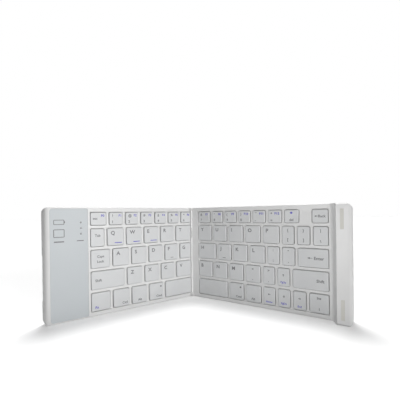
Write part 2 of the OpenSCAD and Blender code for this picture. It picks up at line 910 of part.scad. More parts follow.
module keys_cmd_alt_right() { color("white") caps(1, 0, [1, 2]); }
module keys_left_down_right() { color("white") caps(1, 0, [3, 4, 5]); }
module key_end() { color("white") caps(1, 0, [6]); }
module keys_b_n() { color("white") caps(1, 1, [0, 1]); }
module keys_m_comma() { color("white") caps(1, 1, [2, 3]); }
module keys_period_up() { color("white") caps(1, 1, [4, 5]); }
module key_shift_right() { color("white") caps(1, 1, [6]); }
module keys_h_j() { color("white") caps(1, 2, [0, 1]); }
module keys_k_l() { color("white") caps(1, 2, [2, 3]); }
module keys_semicolon_quote() { color("white") caps(1, 2, [4, 5]); }
module key_enter() { color("white") caps(1, 2, [6]); }
module keys_y_u() { color("white") caps(1, 3, [0, 1]); }
module keys_i_o_p() { color("white") caps(1, 3, [2, 3, 4]); }
module keys_brackets() { color("white") caps(1, 3, [5, 6, 7]); }
module keys_7_8_9() { color("white") caps(1, 4, [0, 1, 2]); }
module keys_0_minus_equals() { color("white") caps(1, 4, [3, 4, 5]); }
module keys_grave_backspace() { color("white") caps(1, 4, [6, 7]); }

right_back_shell();
right_top_frame();
bar_cover();
battery_door();
battery_cells();
battery_contacts();
right_key_plate();
right_contact_sheet();
right_dome_sheet();
right_scissor_links();
right_screws();
right_pads();
right_hinge_leaves();
hinge_pins();
left_back_shell();
left_top_frame();
status_panel();
controller_board();
status_lights();
left_key_plate();
left_contact_sheet();
left_dome_sheet();
left_scissor_links();
left_screws();
left_pads();
left_hinge_leaves();
stand_tongue();
power_switch();
ribbon_cable();
key_space_left();
keys_ctrl_alt_cmd();
key_fn();
keys_c_v();
keys_z_x();
key_shift_left();
keys_d_f_g();
keys_caps_a_s();
keys_e_r_t();
keys_tab_q_w();
keys_5_6();
keys_3_4();
keys_esc_1_2();
key_space_right();
keys_cmd_alt_right();
keys_left_down_right();
key_end();
keys_b_n();
keys_m_comma();
keys_period_up();
key_shift_right();
keys_h_j();
keys_k_l();
keys_semicolon_quote();
key_enter();
keys_y_u();
keys_i_o_p();
keys_brackets();
keys_7_8_9();
keys_0_minus_equals();
keys_grave_backspace();
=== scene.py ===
"""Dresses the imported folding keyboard: casings, caps, print, bar, panel, stand, hinge and studio.

Every size is in millimetres until a mesh is placed, when it is turned into metres.
"""

import json
import logging
import math
from collections.abc import Callable, Sequence
from dataclasses import dataclass
from enum import Enum

import bmesh
import bpy
from mathutils import Matrix, Vector


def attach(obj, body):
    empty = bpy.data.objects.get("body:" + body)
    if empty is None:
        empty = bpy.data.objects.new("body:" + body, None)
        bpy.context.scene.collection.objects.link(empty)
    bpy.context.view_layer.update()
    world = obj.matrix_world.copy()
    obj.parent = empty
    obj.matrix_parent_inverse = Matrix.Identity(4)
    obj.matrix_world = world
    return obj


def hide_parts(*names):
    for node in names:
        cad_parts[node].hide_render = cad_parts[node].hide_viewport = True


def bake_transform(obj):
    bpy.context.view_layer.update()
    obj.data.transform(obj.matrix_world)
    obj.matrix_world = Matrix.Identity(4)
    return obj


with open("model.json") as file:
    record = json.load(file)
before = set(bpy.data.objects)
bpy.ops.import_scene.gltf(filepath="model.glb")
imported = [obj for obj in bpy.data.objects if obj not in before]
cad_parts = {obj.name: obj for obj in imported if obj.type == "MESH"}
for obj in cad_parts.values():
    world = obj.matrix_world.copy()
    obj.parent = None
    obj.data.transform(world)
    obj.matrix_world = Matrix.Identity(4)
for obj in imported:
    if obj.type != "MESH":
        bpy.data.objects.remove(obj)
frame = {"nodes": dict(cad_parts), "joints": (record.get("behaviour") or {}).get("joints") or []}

LOG = logging.getLogger("folding_keyboard")
MM = 0.001
MERGE_DISTANCE = 0.002
FLAT_ANGLE = math.radians(0.6)
SHARP_ANGLE = math.radians(32)

Colour = tuple[float, float, float]
Point = tuple[float, float, float]
Ring = list[Vector]
Tree = bpy.types.NodeTree
Socket = bpy.types.NodeSocket
Sockets = bpy.types.NodeOutputs


# Tools ------------------------------------------------------------------------------------------


def add_node(tree: Tree, kind: str, feeds: dict | None = None,
             **settings: object) -> bpy.types.Node:
    """Adds a node to a shader or geometry tree.

    Args:
        tree: the tree.
        kind: the node's type.
        feeds: a socket, a number or a colour for inputs by name or index.
        settings: values of the node's own properties.

    Returns:
        The node.
    """
    node = tree.nodes.new(kind)
    for key, value in settings.items():
        setattr(node, key, value)
    for key, value in (feeds or {}).items():
        socket = node.inputs[key]
        if isinstance(value, Socket):
            tree.links.new(value, socket)
        else:
            socket.default_value = (*value, 1.0) if socket.type == "RGBA" else value
    return node


def ranged(tree: Tree, value: Socket, low: float | Socket, high: float | Socket,
           start: float = 0.0, end: float = 1.0) -> Socket:
    """Maps a shader socket from one range onto another.

    Args:
        tree: the shader tree.
        value: the socket that is mapped.
        low: where the new range starts.
        high: where the new range ends.
        start: the value that becomes low.
        end: the value that becomes high.

    Returns:
        The mapped socket.
    """
    return add_node(tree, "ShaderNodeMapRange", {
        "Value": value, "From Min": start, "From Max": end, "To Min": low, "To Max": high,
    }).outputs["Result"]


def mesh_of(work: bmesh.types.BMesh, name: str) -> bpy.types.Mesh:
    """Turns a finished bmesh into a mesh and frees it.

    Args:
        work: the finished bmesh.
        name: what the mesh is called.

    Returns:
        The mesh.
    """
    mesh = bpy.data.meshes.new(name)
    work.to_mesh(mesh)
    work.free()
    return mesh


def linked(name: str, data: bpy.types.ID) -> bpy.types.Object:
    """Makes an object of its data and links it to the scene.

    Args:
        name: what the object is called.
        data: its mesh, curve, lamp or camera.

    Returns:
        The object.
    """
    made = bpy.data.objects.new(name, data)
    bpy.context.scene.collection.objects.link(made)
    return made


# Finishes ---------------------------------------------------------------------------------------


class Texture(Enum):
    """How the surface of a finish is worked."""

    GRAIN = "fine_grain"
    BRUSHED = "brushed_lines"
    FILM = "film_ripple"


@dataclass(frozen=True)
class Finish:
    """One material: its tone, how it varies, its gloss and the relief of its surface."""

    tone: Colour
    shade: Colour
    low_rough: float
    high_rough: float
    texture: Texture = Texture.GRAIN
    relief: float = 0.004
    grain: float = 5200.0
    spread: float = 60.0
    amount: float = 0.6
    metallic: float = 0.0
    coat: float = 0.0
    specular: float = 0.5


class Slot(Enum):
    """The record's material slots, and the two inks that have none."""

    CASING_WHITE = "casing_white"
    CAP_WHITE = "cap_white"
    PANEL_GREY = "panel_grey"
    LINK_WHITE = "link_white"
    DOME_RUBBER = "dome_rubber"
    SHEET_FILM = "sheet_film"
    PLATE_STEEL = "plate_steel"
    HINGE_STEEL = "hinge_steel"
    BOARD_GREEN = "board_green"
    LIGHT_CLEAR = "light_clear"
    PAD_RUBBER = "pad_rubber"
    CELL_WRAP = "cell_wrap"
    CONTACT_METAL = "contact_metal"
    SCREW_WHITE = "screw_white"
    RIBBON_FILM = "ribbon_film"
    SWITCH_GREY = "switch_grey"
    INK_DARK = "ink_dark"
    INK_BLUE = "ink_blue"


INKS = (Slot.INK_DARK, Slot.INK_BLUE)

FINISHES: dict[Slot, Finish] = {
    Slot.CASING_WHITE: Finish((0.86, 0.86, 0.855), (0.82, 0.82, 0.815), 0.34, 0.44, relief=0.003,
                              amount=0.5),
    Slot.CAP_WHITE: Finish((0.76, 0.77, 0.775), (0.72, 0.73, 0.74), 0.40, 0.52, relief=0.004,
                           spread=90.0),
    Slot.PANEL_GREY: Finish((0.63, 0.665, 0.685), (0.60, 0.635, 0.655), 0.40, 0.44, relief=0.0015,
                            spread=25.0, amount=0.1, specular=0.4),
    Slot.LINK_WHITE: Finish((0.80, 0.79, 0.74), (0.75, 0.74, 0.69), 0.38, 0.5),
    Slot.DOME_RUBBER: Finish((0.66, 0.66, 0.63), (0.60, 0.60, 0.57), 0.6, 0.75),
    Slot.SHEET_FILM: Finish((0.46, 0.34, 0.17), (0.40, 0.29, 0.14), 0.2, 0.32, Texture.FILM,
                            0.006),
    Slot.PLATE_STEEL: Finish((0.56, 0.57, 0.58), (0.48, 0.49, 0.51), 0.3, 0.45, Texture.BRUSHED,
                             0.002, metallic=1.0),
    Slot.HINGE_STEEL: Finish((0.62, 0.62, 0.62), (0.52, 0.52, 0.53), 0.22, 0.36, Texture.BRUSHED,
                             0.0015, metallic=1.0),
    Slot.BOARD_GREEN: Finish((0.03, 0.17, 0.08), (0.02, 0.12, 0.06), 0.28, 0.4, coat=0.3),
    Slot.LIGHT_CLEAR: Finish((0.22, 0.225, 0.24), (0.17, 0.175, 0.19), 0.12, 0.2, relief=0.001,
                             coat=0.5),
    Slot.PAD_RUBBER: Finish((0.76, 0.75, 0.70), (0.72, 0.71, 0.66), 0.5, 0.65, relief=0.010,
                            grain=2600.0),
    Slot.CELL_WRAP: Finish((0.05, 0.06, 0.08), (0.035, 0.04, 0.06), 0.22, 0.34, Texture.FILM,
                           0.004, coat=0.4),
    Slot.CONTACT_METAL: Finish((0.70, 0.69, 0.66), (0.60, 0.59, 0.57), 0.2, 0.34, Texture.BRUSHED,
                               0.001, metallic=1.0),
    Slot.SCREW_WHITE: Finish((0.80, 0.80, 0.79), (0.72, 0.72, 0.71), 0.3, 0.42, relief=0.002),
    Slot.RIBBON_FILM: Finish((0.72, 0.72, 0.70), (0.66, 0.66, 0.64), 0.2, 0.32, Texture.FILM,
                             0.003, coat=0.3),
    Slot.SWITCH_GREY: Finish((0.30, 0.30, 0.31), (0.26, 0.26, 0.27), 0.4, 0.5, relief=0.005),
    Slot.INK_DARK: Finish((0.19, 0.19, 0.20), (0.235, 0.235, 0.245), 0.42, 0.55, relief=0.001,
                          spread=700.0),
    Slot.INK_BLUE: Finish((0.12, 0.11, 0.56), (0.16, 0.15, 0.60), 0.42, 0.55, relief=0.001,
                          spread=700.0),
}


class EffectGroups:
    """The shader node groups that the finishes share: tone, gloss and three kinds of relief."""

    noise_from = 0.3
    noise_to = 0.7
    bump_strength = 0.35
    hairline_stretch = 0.02
    ripple_share = 0.06

    def __init__(self) -> None:
        """Builds each group once."""
        self.tone = self._tone()
        self.gloss = self._gloss()
        self.relief = {
            Texture.GRAIN: self._grain(),
            Texture.BRUSHED: self._brushed(),
            Texture.FILM: self._film(),
        }

    @staticmethod
    def _start(name: str, inputs: Sequence[str], output: str,
               kinds: dict[str, str]) -> tuple[Tree, Sockets, bpy.types.Node]:
        """Opens a new group with its sockets.

        Args:
            name: the group's name.
            inputs: the name of each input.
            output: the name of the output.
            kinds: socket kind of each input and of the output that isn't a plain number.

        Returns:
            The tree, its input sockets by name and its output node.
        """
        tree = bpy.data.node_groups.new(name, "ShaderNodeTree")
        for label, way in (*((label, "INPUT") for label in inputs), (output, "OUTPUT")):
            kind = kinds.get(label, "Float")
            tree.interface.new_socket(label, in_out=way, socket_type=f"NodeSocket{kind}")
        start = tree.nodes.new("NodeGroupInput")
        return tree, start.outputs, tree.nodes.new("NodeGroupOutput")

    @staticmethod
    def _noise(tree: Tree, vector: Socket, scale: Socket, detail: float) -> Socket:
        """Adds a noise texture on a vector at a linked scale and returns its value socket."""
        return add_node(tree, "ShaderNodeTexNoise", {
            "Vector": vector, "Scale": scale, "Detail": detail}).outputs["Fac"]

    def _wander(self, tree: Tree, get: Sockets, detail: float, low: float | Socket,
                high: float | Socket) -> Socket:
        """Lets a value wander between two ends by noise, and returns its socket."""
        value = self._noise(tree, get["Vector"], get["Spread"], detail=detail)
        return ranged(tree, value, low, high, self.noise_from, self.noise_to)

    def _tone(self) -> Tree:
        """Soft blotches between a tone and its shade, the way a moulding cools unevenly.

        Returns:
            The group's tree.
        """
        tree, get, end = self._start(
            "mottled_tone", ("Vector", "Tone", "Shade", "Spread", "Amount"), "Color",
            {"Vector": "Vector", "Tone": "Color", "Shade": "Color", "Color": "Color"})
        mask = self._wander(tree, get, detail=3.0, low=0.0, high=get["Amount"])
        mix = add_node(tree, "ShaderNodeMix", {
            "Factor": mask, "A": get["Tone"], "B": get["Shade"]}, data_type="RGBA")
        tree.links.new(mix.outputs["Result"], end.inputs["Color"])
        return tree

    def _gloss(self) -> Tree:
        """Roughness that wanders between two values, as on a handled surface.

        Returns:
            The group's tree.
        """
        tree, get, end = self._start("handled_gloss", ("Vector", "Low", "High", "Spread"),
                                     "Roughness", {"Vector": "Vector"})
        rough = self._wander(tree, get, detail=4.0, low=get["Low"], high=get["High"])
        tree.links.new(rough, end.inputs["Roughness"])
        return tree

    def _bumped(self, texture: Texture,
                height_of: Callable[[Tree, Socket, Socket], Socket]) -> Tree:
        """Makes a relief group from a function that gives its height socket.

        Args:
            texture: what the group is for.
            height_of: takes the tree, the vector and the scale socket, and gives a height.

        Returns:
            The tree.
        """
        tree, get, end = self._start(texture.value, ("Vector", "Scale", "Depth"), "Normal",
                                     {"Vector": "Vector", "Normal": "Vector"})
        bump = add_node(tree, "ShaderNodeBump", {
            "Strength": self.bump_strength, "Distance": get["Depth"],
            "Height": height_of(tree, get["Vector"], get["Scale"])})
        tree.links.new(bump.outputs["Normal"], end.inputs["Normal"])
        return tree

    def _grain(self) -> Tree:
        """The even spark-eroded grain of moulded plastic and rubber."""
        return self._bumped(Texture.GRAIN, lambda t, v, s: self._noise(t, v, s, detail=2.0))

    def _brushed(self) -> Tree:
        """Long parallel hairlines of rolled or drawn metal.

        Returns:
            The group's tree.
        """

        def height(tree: Tree, vector: Socket, scale: Socket) -> Socket:
            """Noise on a vector that is squeezed along the lines.

            Args:
                tree: the group's tree.
                vector: the socket with the place.
                scale: the socket with the grain's scale.

            Returns:
                The height socket.
            """
            mapping = add_node(tree, "ShaderNodeMapping", {
                "Vector": vector, "Scale": (1.0, 1.0, self.hairline_stretch)})
            return self._noise(tree, mapping.outputs["Vector"], scale, detail=3.0)

        return self._bumped(Texture.BRUSHED, height)

    def _film(self) -> Tree:
        """The slow ripple of thin film and shrink sleeve.

        Returns:
            The group's tree.
        """

        def height(tree: Tree, vector: Socket, scale: Socket) -> Socket:
            """Noise at a small share of the grain's scale.

            Args:
                tree: the group's tree.
                vector: the socket with the place.
                scale: the socket with the grain's scale.

            Returns:
                The height socket.
            """
            slow = add_node(tree, "ShaderNodeMath", {0: scale, 1: self.ripple_share},
                            operation="MULTIPLY")
            return self._noise(tree, vector, slow.outputs["Value"], detail=1.0)

        return self._bumped(Texture.FILM, height)


class Palette:
    """Builds each finish as a Blender material once, and hands it out by slot."""

    def __init__(self) -> None:
        """Starts with the shared groups and no material."""
        self.groups = EffectGroups()
        self.made: dict[Slot, bpy.types.Material] = {}

    def get(self, slot: Slot) -> bpy.types.Material:
        """The material of a slot, built on its first use.

        Args:
            slot: the material slot.

        Returns:
            Its material.
        """
        if slot not in self.made:
            self.made[slot] = self._build(slot.value, FINISHES[slot])
        return self.made[slot]

    def _build(self, name: str, finish: Finish) -> bpy.types.Material:
        """Builds one finish from the shared groups.

        Args:
            name: the material's name.
            finish: what to build.

        Returns:
            The material.
        """
        material = bpy.data.materials.new(name)
        material.use_nodes = True
        tree = material.node_tree
        shader = tree.nodes["Principled BSDF"]
        place = add_node(tree, "ShaderNodeTexCoord").outputs["Object"]
        groups = self.groups
        for group, output, target, feeds in (
                (groups.tone, "Color", "Base Color", {
                    "Tone": finish.tone, "Shade": finish.shade, "Spread": finish.spread,
                    "Amount": finish.amount}),
                (groups.gloss, "Roughness", "Roughness", {
                    "Low": finish.low_rough, "High": finish.high_rough,
                    "Spread": finish.spread * 2}),
                (groups.relief[finish.texture], "Normal", "Normal", {
                    "Scale": finish.grain, "Depth": finish.relief * MM})):
            placed = add_node(tree, "ShaderNodeGroup", {"Vector": place, **feeds},
                              node_tree=group)
            tree.links.new(placed.outputs[output], shader.inputs[target])
        shader.inputs["Metallic"].default_value = finish.metallic
        shader.inputs["Coat Weight"].default_value = finish.coat
        shader.inputs["Specular IOR Level"].default_value = finish.specular
        material.diffuse_color = (*finish.tone, 1.0)
        return material


# Where things are -------------------------------------------------------------------------------


@dataclass(frozen=True)
class Board:
    """One half's own axes: x to the reader's right, y from front to rear, z out of the keys."""

    side: int
    body: str
    lean: float = math.radians(32.5)

    @property
    def matrix(self) -> Matrix:
        """Takes millimetres on this half to metres in the frame.

        Returns:
            The matrix, worked out from the fold joint's place.
        """
        fold = next(j for j in frame["joints"] if j["name"] == "fold")["pos_m"]
        sine, cosine = math.sin(self.lean), math.cos(self.lean)
        across = Vector((cosine, -self.side * sine, 0)) * MM
        up = Vector((0, 0, 1)) * MM
        out = Vector((-self.side * sine, -cosine, 0)) * MM
        turned = Matrix.Identity(4)
        foot = (fold[0], fold[1], 0.0)
        for row in range(3):
            turned[row][:] = across[row], up[row], out[row], foot[row]
        return turned

    def local(self, mesh: bpy.types.Mesh) -> None:
        """Turns a mesh from the frame into this half's own millimetres."""
        mesh.transform(self.matrix.inverted())

    def place(self, mesh: bpy.types.Mesh) -> None:
        """Turns a mesh from this half's own millimetres into the frame."""
        mesh.transform(self.matrix)


LEFT = Board(-1, "left_half")
RIGHT = Board(1, "right_half")


def solid_copy(node: str, board: Board) -> bpy.types.Mesh:
    """A copy of a solid's mesh in a half's own millimetres.

    Args:
        node: the solid's node.
        board: the half whose axes are used.

    Returns:
        The copied mesh.
    """
    mesh = frame["nodes"][node].data.copy()
    board.local(mesh)
    return mesh


def welded(mesh: bpy.types.Mesh) -> bmesh.types.BMesh:
    """Opens a mesh as a bmesh whose doubled points are merged.

    Args:
        mesh: a mesh of loose triangles.

    Returns:
        The bmesh, which the caller frees.
    """
    work = bmesh.new()
    work.from_mesh(mesh)
    bmesh.ops.remove_doubles(work, verts=work.verts, dist=MERGE_DISTANCE)
    return work


def every_edge(_a: Vector, _b: Vector) -> bool:
    """True for every edge, for a piece that is rounded all over."""
    return True


class Workshop:
    """Makes finished pieces: new meshes, rounded copies of solids, and dressed solids."""

    def __init__(self) -> None:
        """Opens the palette."""
        self.palette = Palette()

    def piece(self, name: str, mesh: bpy.types.Mesh, body: str, slots: Sequence[Slot],
              replaces: Sequence[str] = (), smooth: float = SHARP_ANGLE) -> None:
        """Makes an object of a mesh that is already in the frame.

        Args:
            name: the piece's name.
            mesh: its mesh, in metres in the frame.
            body: the body that it rides on.
            slots: the finishes of its material slots.
            replaces: the solids that it stands for.
            smooth: edges sharper than this stay sharp.
        """
        mesh.name = name
        if mesh.materials:
            mesh.materials.clear()
        for slot in slots:
            mesh.materials.append(self.palette.get(slot))
        mesh.polygons.foreach_set("use_smooth", [True] * len(mesh.polygons))
        mesh.set_sharp_from_angle(angle=smooth)
        made = linked(name, mesh)
        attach(made, body)
        if replaces:
            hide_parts(*replaces)
        LOG.info("%s rides on %s, %d faces", name, body, len(mesh.polygons))

    @staticmethod
    def flatten_shading(mesh: bpy.types.Mesh) -> None:
        """Leans every corner's normal on the largest faces round it, so flats stay flat.

        Args:
            mesh: the finished mesh, whose corner normals are set.
        """
        around: list[list[bpy.types.MeshPolygon]] = [[] for _ in mesh.vertices]
        for face in mesh.polygons:
            for vertex in face.vertices:
                around[vertex].append(face)
        limit = math.cos(SHARP_ANGLE)
        normals = []
        for face in mesh.polygons:
            own = face.normal
            for index in face.loop_indices:
                total = Vector()
                for other in around[mesh.loops[index].vertex_index]:
                    if own.dot(other.normal) > limit:
                        total += other.normal * other.area
                normals.append(total.normalized() if total.length else own.copy())
        mesh.normals_split_custom_set(normals)

    def dress(self, node: str, slot: Slot) -> None:
        """Gives a solid that keeps its own shape its finish.

        Args:
            node: the solid's node.
            slot: the finish that it gets.
        """
        solid = frame["nodes"][node]
        solid.data.materials.clear()
        solid.data.materials.append(self.palette.get(slot))
        LOG.info("%s keeps its solid", node)

    def rounded(self, name: str, node: str, board: Board, body: str, slot: Slot, radius: float,
                chosen: Callable[[Vector, Vector], bool] = every_edge, steps: int = 2) -> None:
        """Copies a solid and rounds its chosen sharp edges.

        Args:
            name: the new piece's name.
            node: the solid that is copied and replaced.
            board: the half whose axes the choice is made in.
            body: the body that the piece rides on.
            slot: its finish.
            radius: how far the edge is rounded, in millimetres.
            chosen: says whether an edge between two points is rounded.
            steps: how many faces the round has.
        """
        mesh = solid_copy(node, board)
        work = welded(mesh)
        bmesh.ops.dissolve_limit(work, angle_limit=FLAT_ANGLE, verts=work.verts, edges=work.edges)
        sharp = [e for e in work.edges if len(e.link_faces) == 2
                 and e.calc_face_angle(0) > SHARP_ANGLE
                 and e.is_convex
                 and chosen(e.verts[0].co, e.verts[1].co)]
        if sharp:
            bmesh.ops.bevel(work, geom=sharp, offset=radius, offset_type="OFFSET", segments=steps,
                            profile=0.5, affect="EDGES", clamp_overlap=True, material=-1)
        bmesh.ops.remove_doubles(work, verts=work.verts, dist=MERGE_DISTANCE)
        work.to_mesh(mesh)
        work.free()
        board.place(mesh)
        self.piece(name, mesh, body, (slot,), (node,))
        self.flatten_shading(mesh)


# Keys -------------------------------------------------------------------------------------------


class Spot(Enum):
    """Where a mark sits on a cap: share of its width and depth, and which part of it is there."""

    TOP_LEFT = (0.20, 0.84, "LEFT", "TOP")
    TOP_RIGHT = (0.86, 0.84, "RIGHT", "TOP")
    BOTTOM_LEFT = (0.20, 0.14, "LEFT", "BOTTOM")
    BOTTOM_RIGHT = (0.86, 0.14, "RIGHT", "BOTTOM")
    UPPER = (0.50, 0.86, "CENTER", "TOP")
    LOWER = (0.50, 0.14, "CENTER", "BOTTOM")
    MIDDLE = (0.50, 0.50, "CENTER", "CENTER")
    HIGH = (0.50, 0.62, "CENTER", "CENTER")
    LOW = (0.50, 0.36, "CENTER", "CENTER")
    LEFT_WORD = (0.15, 0.50, "LEFT", "CENTER")
    RIGHT_WORD = (0.86, 0.50, "RIGHT", "CENTER")
    AHEAD = (0.40, 0.50, "CENTER", "CENTER")


class Shape(Enum):
    """Marks that are drawn and not written."""

    BAR = "bar"
    ARROW_UP = "arrow_up"
    ARROW_DOWN = "arrow_down"
    ARROW_LEFT = "arrow_left"
    ARROW_RIGHT = "arrow_right"
    DOT = "dot"


@dataclass(frozen=True)
class Mark:
    """One printed mark on a cap: a word or a shape, its place, its height and its ink."""

    what: str | Shape
    spot: Spot
    height: float
    ink: Slot = Slot.INK_DARK
    width: float = 0.0


@dataclass(frozen=True)
class KeyGroup:
    """The caps of one node, in the order in which they are read, and their print."""

    node: str
    board: Board
    prints: tuple[tuple[Mark, ...], ...]


BIG, SIGN, SMALL, TINY = 3.3, 2.3, 2.1, 1.6


def word(text: str, spot: Spot, height: float = SMALL) -> Mark:
    """A word in dark ink."""
    return Mark(text, spot, height)


def letter(text: str, *more: Mark) -> tuple[Mark, ...]:
    """A letter key, with any further marks."""
    return (Mark(text, Spot.TOP_LEFT, BIG), *more)


def underlined(text: str) -> tuple[Mark, ...]:
    """A letter key with a blue bar along its near edge."""
    return letter(text, Mark(Shape.BAR, Spot.BOTTOM_RIGHT, 0.7, Slot.INK_BLUE, 6.5))


def homing(text: str) -> tuple[Mark, ...]:
    """A letter key with the short bar that a forefinger rests on."""
    return letter(text, Mark(Shape.BAR, Spot.LOWER, 0.5, width=3.2))


def digit(upper: str, lower: str, side: str) -> tuple[Mark, ...]:
    """A number key: its sign, its digit, and its second use in blue."""
    return (Mark(upper, Spot.TOP_LEFT, SIGN), Mark(lower, Spot.BOTTOM_LEFT, SIGN),
            Mark(side, Spot.TOP_RIGHT, SMALL, Slot.INK_BLUE))


def pair(upper: str, lower: str) -> tuple[Mark, ...]:
    """A key with two signs, one above the other."""
    return (Mark(upper, Spot.UPPER, SIGN), Mark(lower, Spot.LOWER, SIGN))


def arrow(shape: Shape, second: str) -> tuple[Mark, ...]:
    """An arrow key with its second use in blue under the arrow."""
    return (Mark(shape, Spot.HIGH, 2.2, width=2.4),
            Mark(second, Spot.LOWER, TINY, Slot.INK_BLUE))


def command() -> tuple[Mark, ...]:
    """A command key: a dot over its word."""
    return (Mark(Shape.DOT, Spot.TOP_RIGHT, 1.7, width=1.7), word("Cmd", Spot.BOTTOM_RIGHT))


KEY_GROUPS: tuple[KeyGroup, ...] = (
    KeyGroup("keys_esc_1_2", LEFT, (
        (word("esc", Spot.LEFT_WORD), Mark("F0", Spot.TOP_RIGHT, SMALL, Slot.INK_BLUE)),
        digit("!", "1", "F1"), digit("@", "2", "F2"))),
    KeyGroup("keys_3_4", LEFT, (digit("#", "3", "F3"), digit("$", "4", "F4"))),
    KeyGroup("keys_5_6", LEFT, (digit("%", "5", "F5"), digit("^", "6", "F6"))),
    KeyGroup("keys_tab_q_w", LEFT, (
        (word("Tab", Spot.HIGH, 2.2),), underlined("Q"), underlined("W"))),
    KeyGroup("keys_e_r_t", LEFT, (underlined("E"), letter("R"), letter("T"))),
    KeyGroup("keys_caps_a_s", LEFT, (
        (word("Caps", Spot.HIGH), word("Lock", Spot.LOW)),
        letter("A"), letter("S"))),
    KeyGroup("keys_d_f_g", LEFT, (letter("D"), homing("F"), letter("G"))),
    KeyGroup("key_shift_left", LEFT, ((word("Shift", Spot.LEFT_WORD, 2.2),),)),
    KeyGroup("keys_z_x", LEFT, (letter("Z"), letter("X"))),
    KeyGroup("keys_c_v", LEFT, (letter("C"), letter("V"))),
    KeyGroup("key_fn", LEFT, ((Mark("Fn", Spot.BOTTOM_LEFT, 2.2, Slot.INK_BLUE),),)),
    KeyGroup("keys_ctrl_alt_cmd", LEFT, (
        (word("Ctrl", Spot.BOTTOM_RIGHT),), (word("Alt", Spot.LOWER),), command())),
    KeyGroup("key_space_left", LEFT, ((),)),
    KeyGroup("keys_7_8_9", RIGHT, (
        digit("&", "7", "F7"), digit("*", "8", "F8"), digit("(", "9", "F9"))),
    KeyGroup("keys_0_minus_equals", RIGHT, (
        digit(")", "0", "F10"), digit("_", "-", "F11"), digit("+", "=", "F12"))),
    KeyGroup("keys_grave_backspace", RIGHT, (
        (Mark(Shape.DOT, Spot.UPPER, 2.0, Slot.INK_BLUE, 2.0), word("del", Spot.LOWER)),
        (Mark(Shape.ARROW_LEFT, Spot.LEFT_WORD, 1.8, width=3.4),
         word("Back", Spot.RIGHT_WORD)))),
    KeyGroup("keys_y_u", RIGHT, (letter("Y"), letter("U"))),
    KeyGroup("keys_i_o_p", RIGHT, (letter("I"), letter("O"), letter("P"))),
    KeyGroup("keys_brackets", RIGHT, (pair("{", "["), pair("}", "]"), pair("|", "\\"))),
    KeyGroup("keys_h_j", RIGHT, (letter("H"), homing("J"))),
    KeyGroup("keys_k_l", RIGHT, (letter("K"), letter("L"))),
    KeyGroup("keys_semicolon_quote", RIGHT, (pair(":", ";"), pair('"', "'"))),
    KeyGroup("key_enter", RIGHT, (
        (Mark(Shape.ARROW_LEFT, Spot.AHEAD, 2.0, width=4.2),
         word("Enter", Spot.RIGHT_WORD, 2.5)),)),
    KeyGroup("keys_b_n", RIGHT, (letter("B"), letter("N"))),
    KeyGroup("keys_m_comma", RIGHT, (letter("M"), pair("<", ","))),
    KeyGroup("keys_period_up", RIGHT, (pair(">", "."), arrow(Shape.ARROW_UP, "PgUp"))),
    KeyGroup("key_shift_right", RIGHT, ((word("Shift", Spot.RIGHT_WORD, 2.4),),)),
    KeyGroup("key_space_right", RIGHT, ((),)),
    KeyGroup("keys_cmd_alt_right", RIGHT, (command(), (word("Alt", Spot.LOWER),))),
    KeyGroup("keys_left_down_right", RIGHT, (
        arrow(Shape.ARROW_LEFT, "Home"), arrow(Shape.ARROW_DOWN, "PgDn"),
        arrow(Shape.ARROW_RIGHT, "End"))),
    KeyGroup("key_end", RIGHT, ((word("Ins", Spot.UPPER), word("1", Spot.LOWER)),)),
)


def loft(work: bmesh.types.BMesh, rings: Sequence[Ring]) -> None:
    """Skins a row of closed outlines of equal count and closes both ends.

    Args:
        work: the mesh that the faces go into.
        rings: the outlines, each turning anticlockwise as seen along the row.
    """
    rows = [[work.verts.new(p) for p in ring] for ring in rings]
    count = len(rows[0])
    for one, two in zip(rows, rows[1:]):
        for k in range(count):
            work.faces.new((one[k], one[(k + 1) % count], two[(k + 1) % count], two[k]))
    work.faces.new(list(reversed(rows[0])))
    work.faces.new(rows[-1])


def circle_ring(x: float, y: float, z: float, radius: float, count: int = 20) -> Ring:
    """A round outline on a half."""
    return [Vector((x + radius * math.cos(2 * math.pi * k / count),
                    y + radius * math.sin(2 * math.pi * k / count), z)) for k in range(count)]


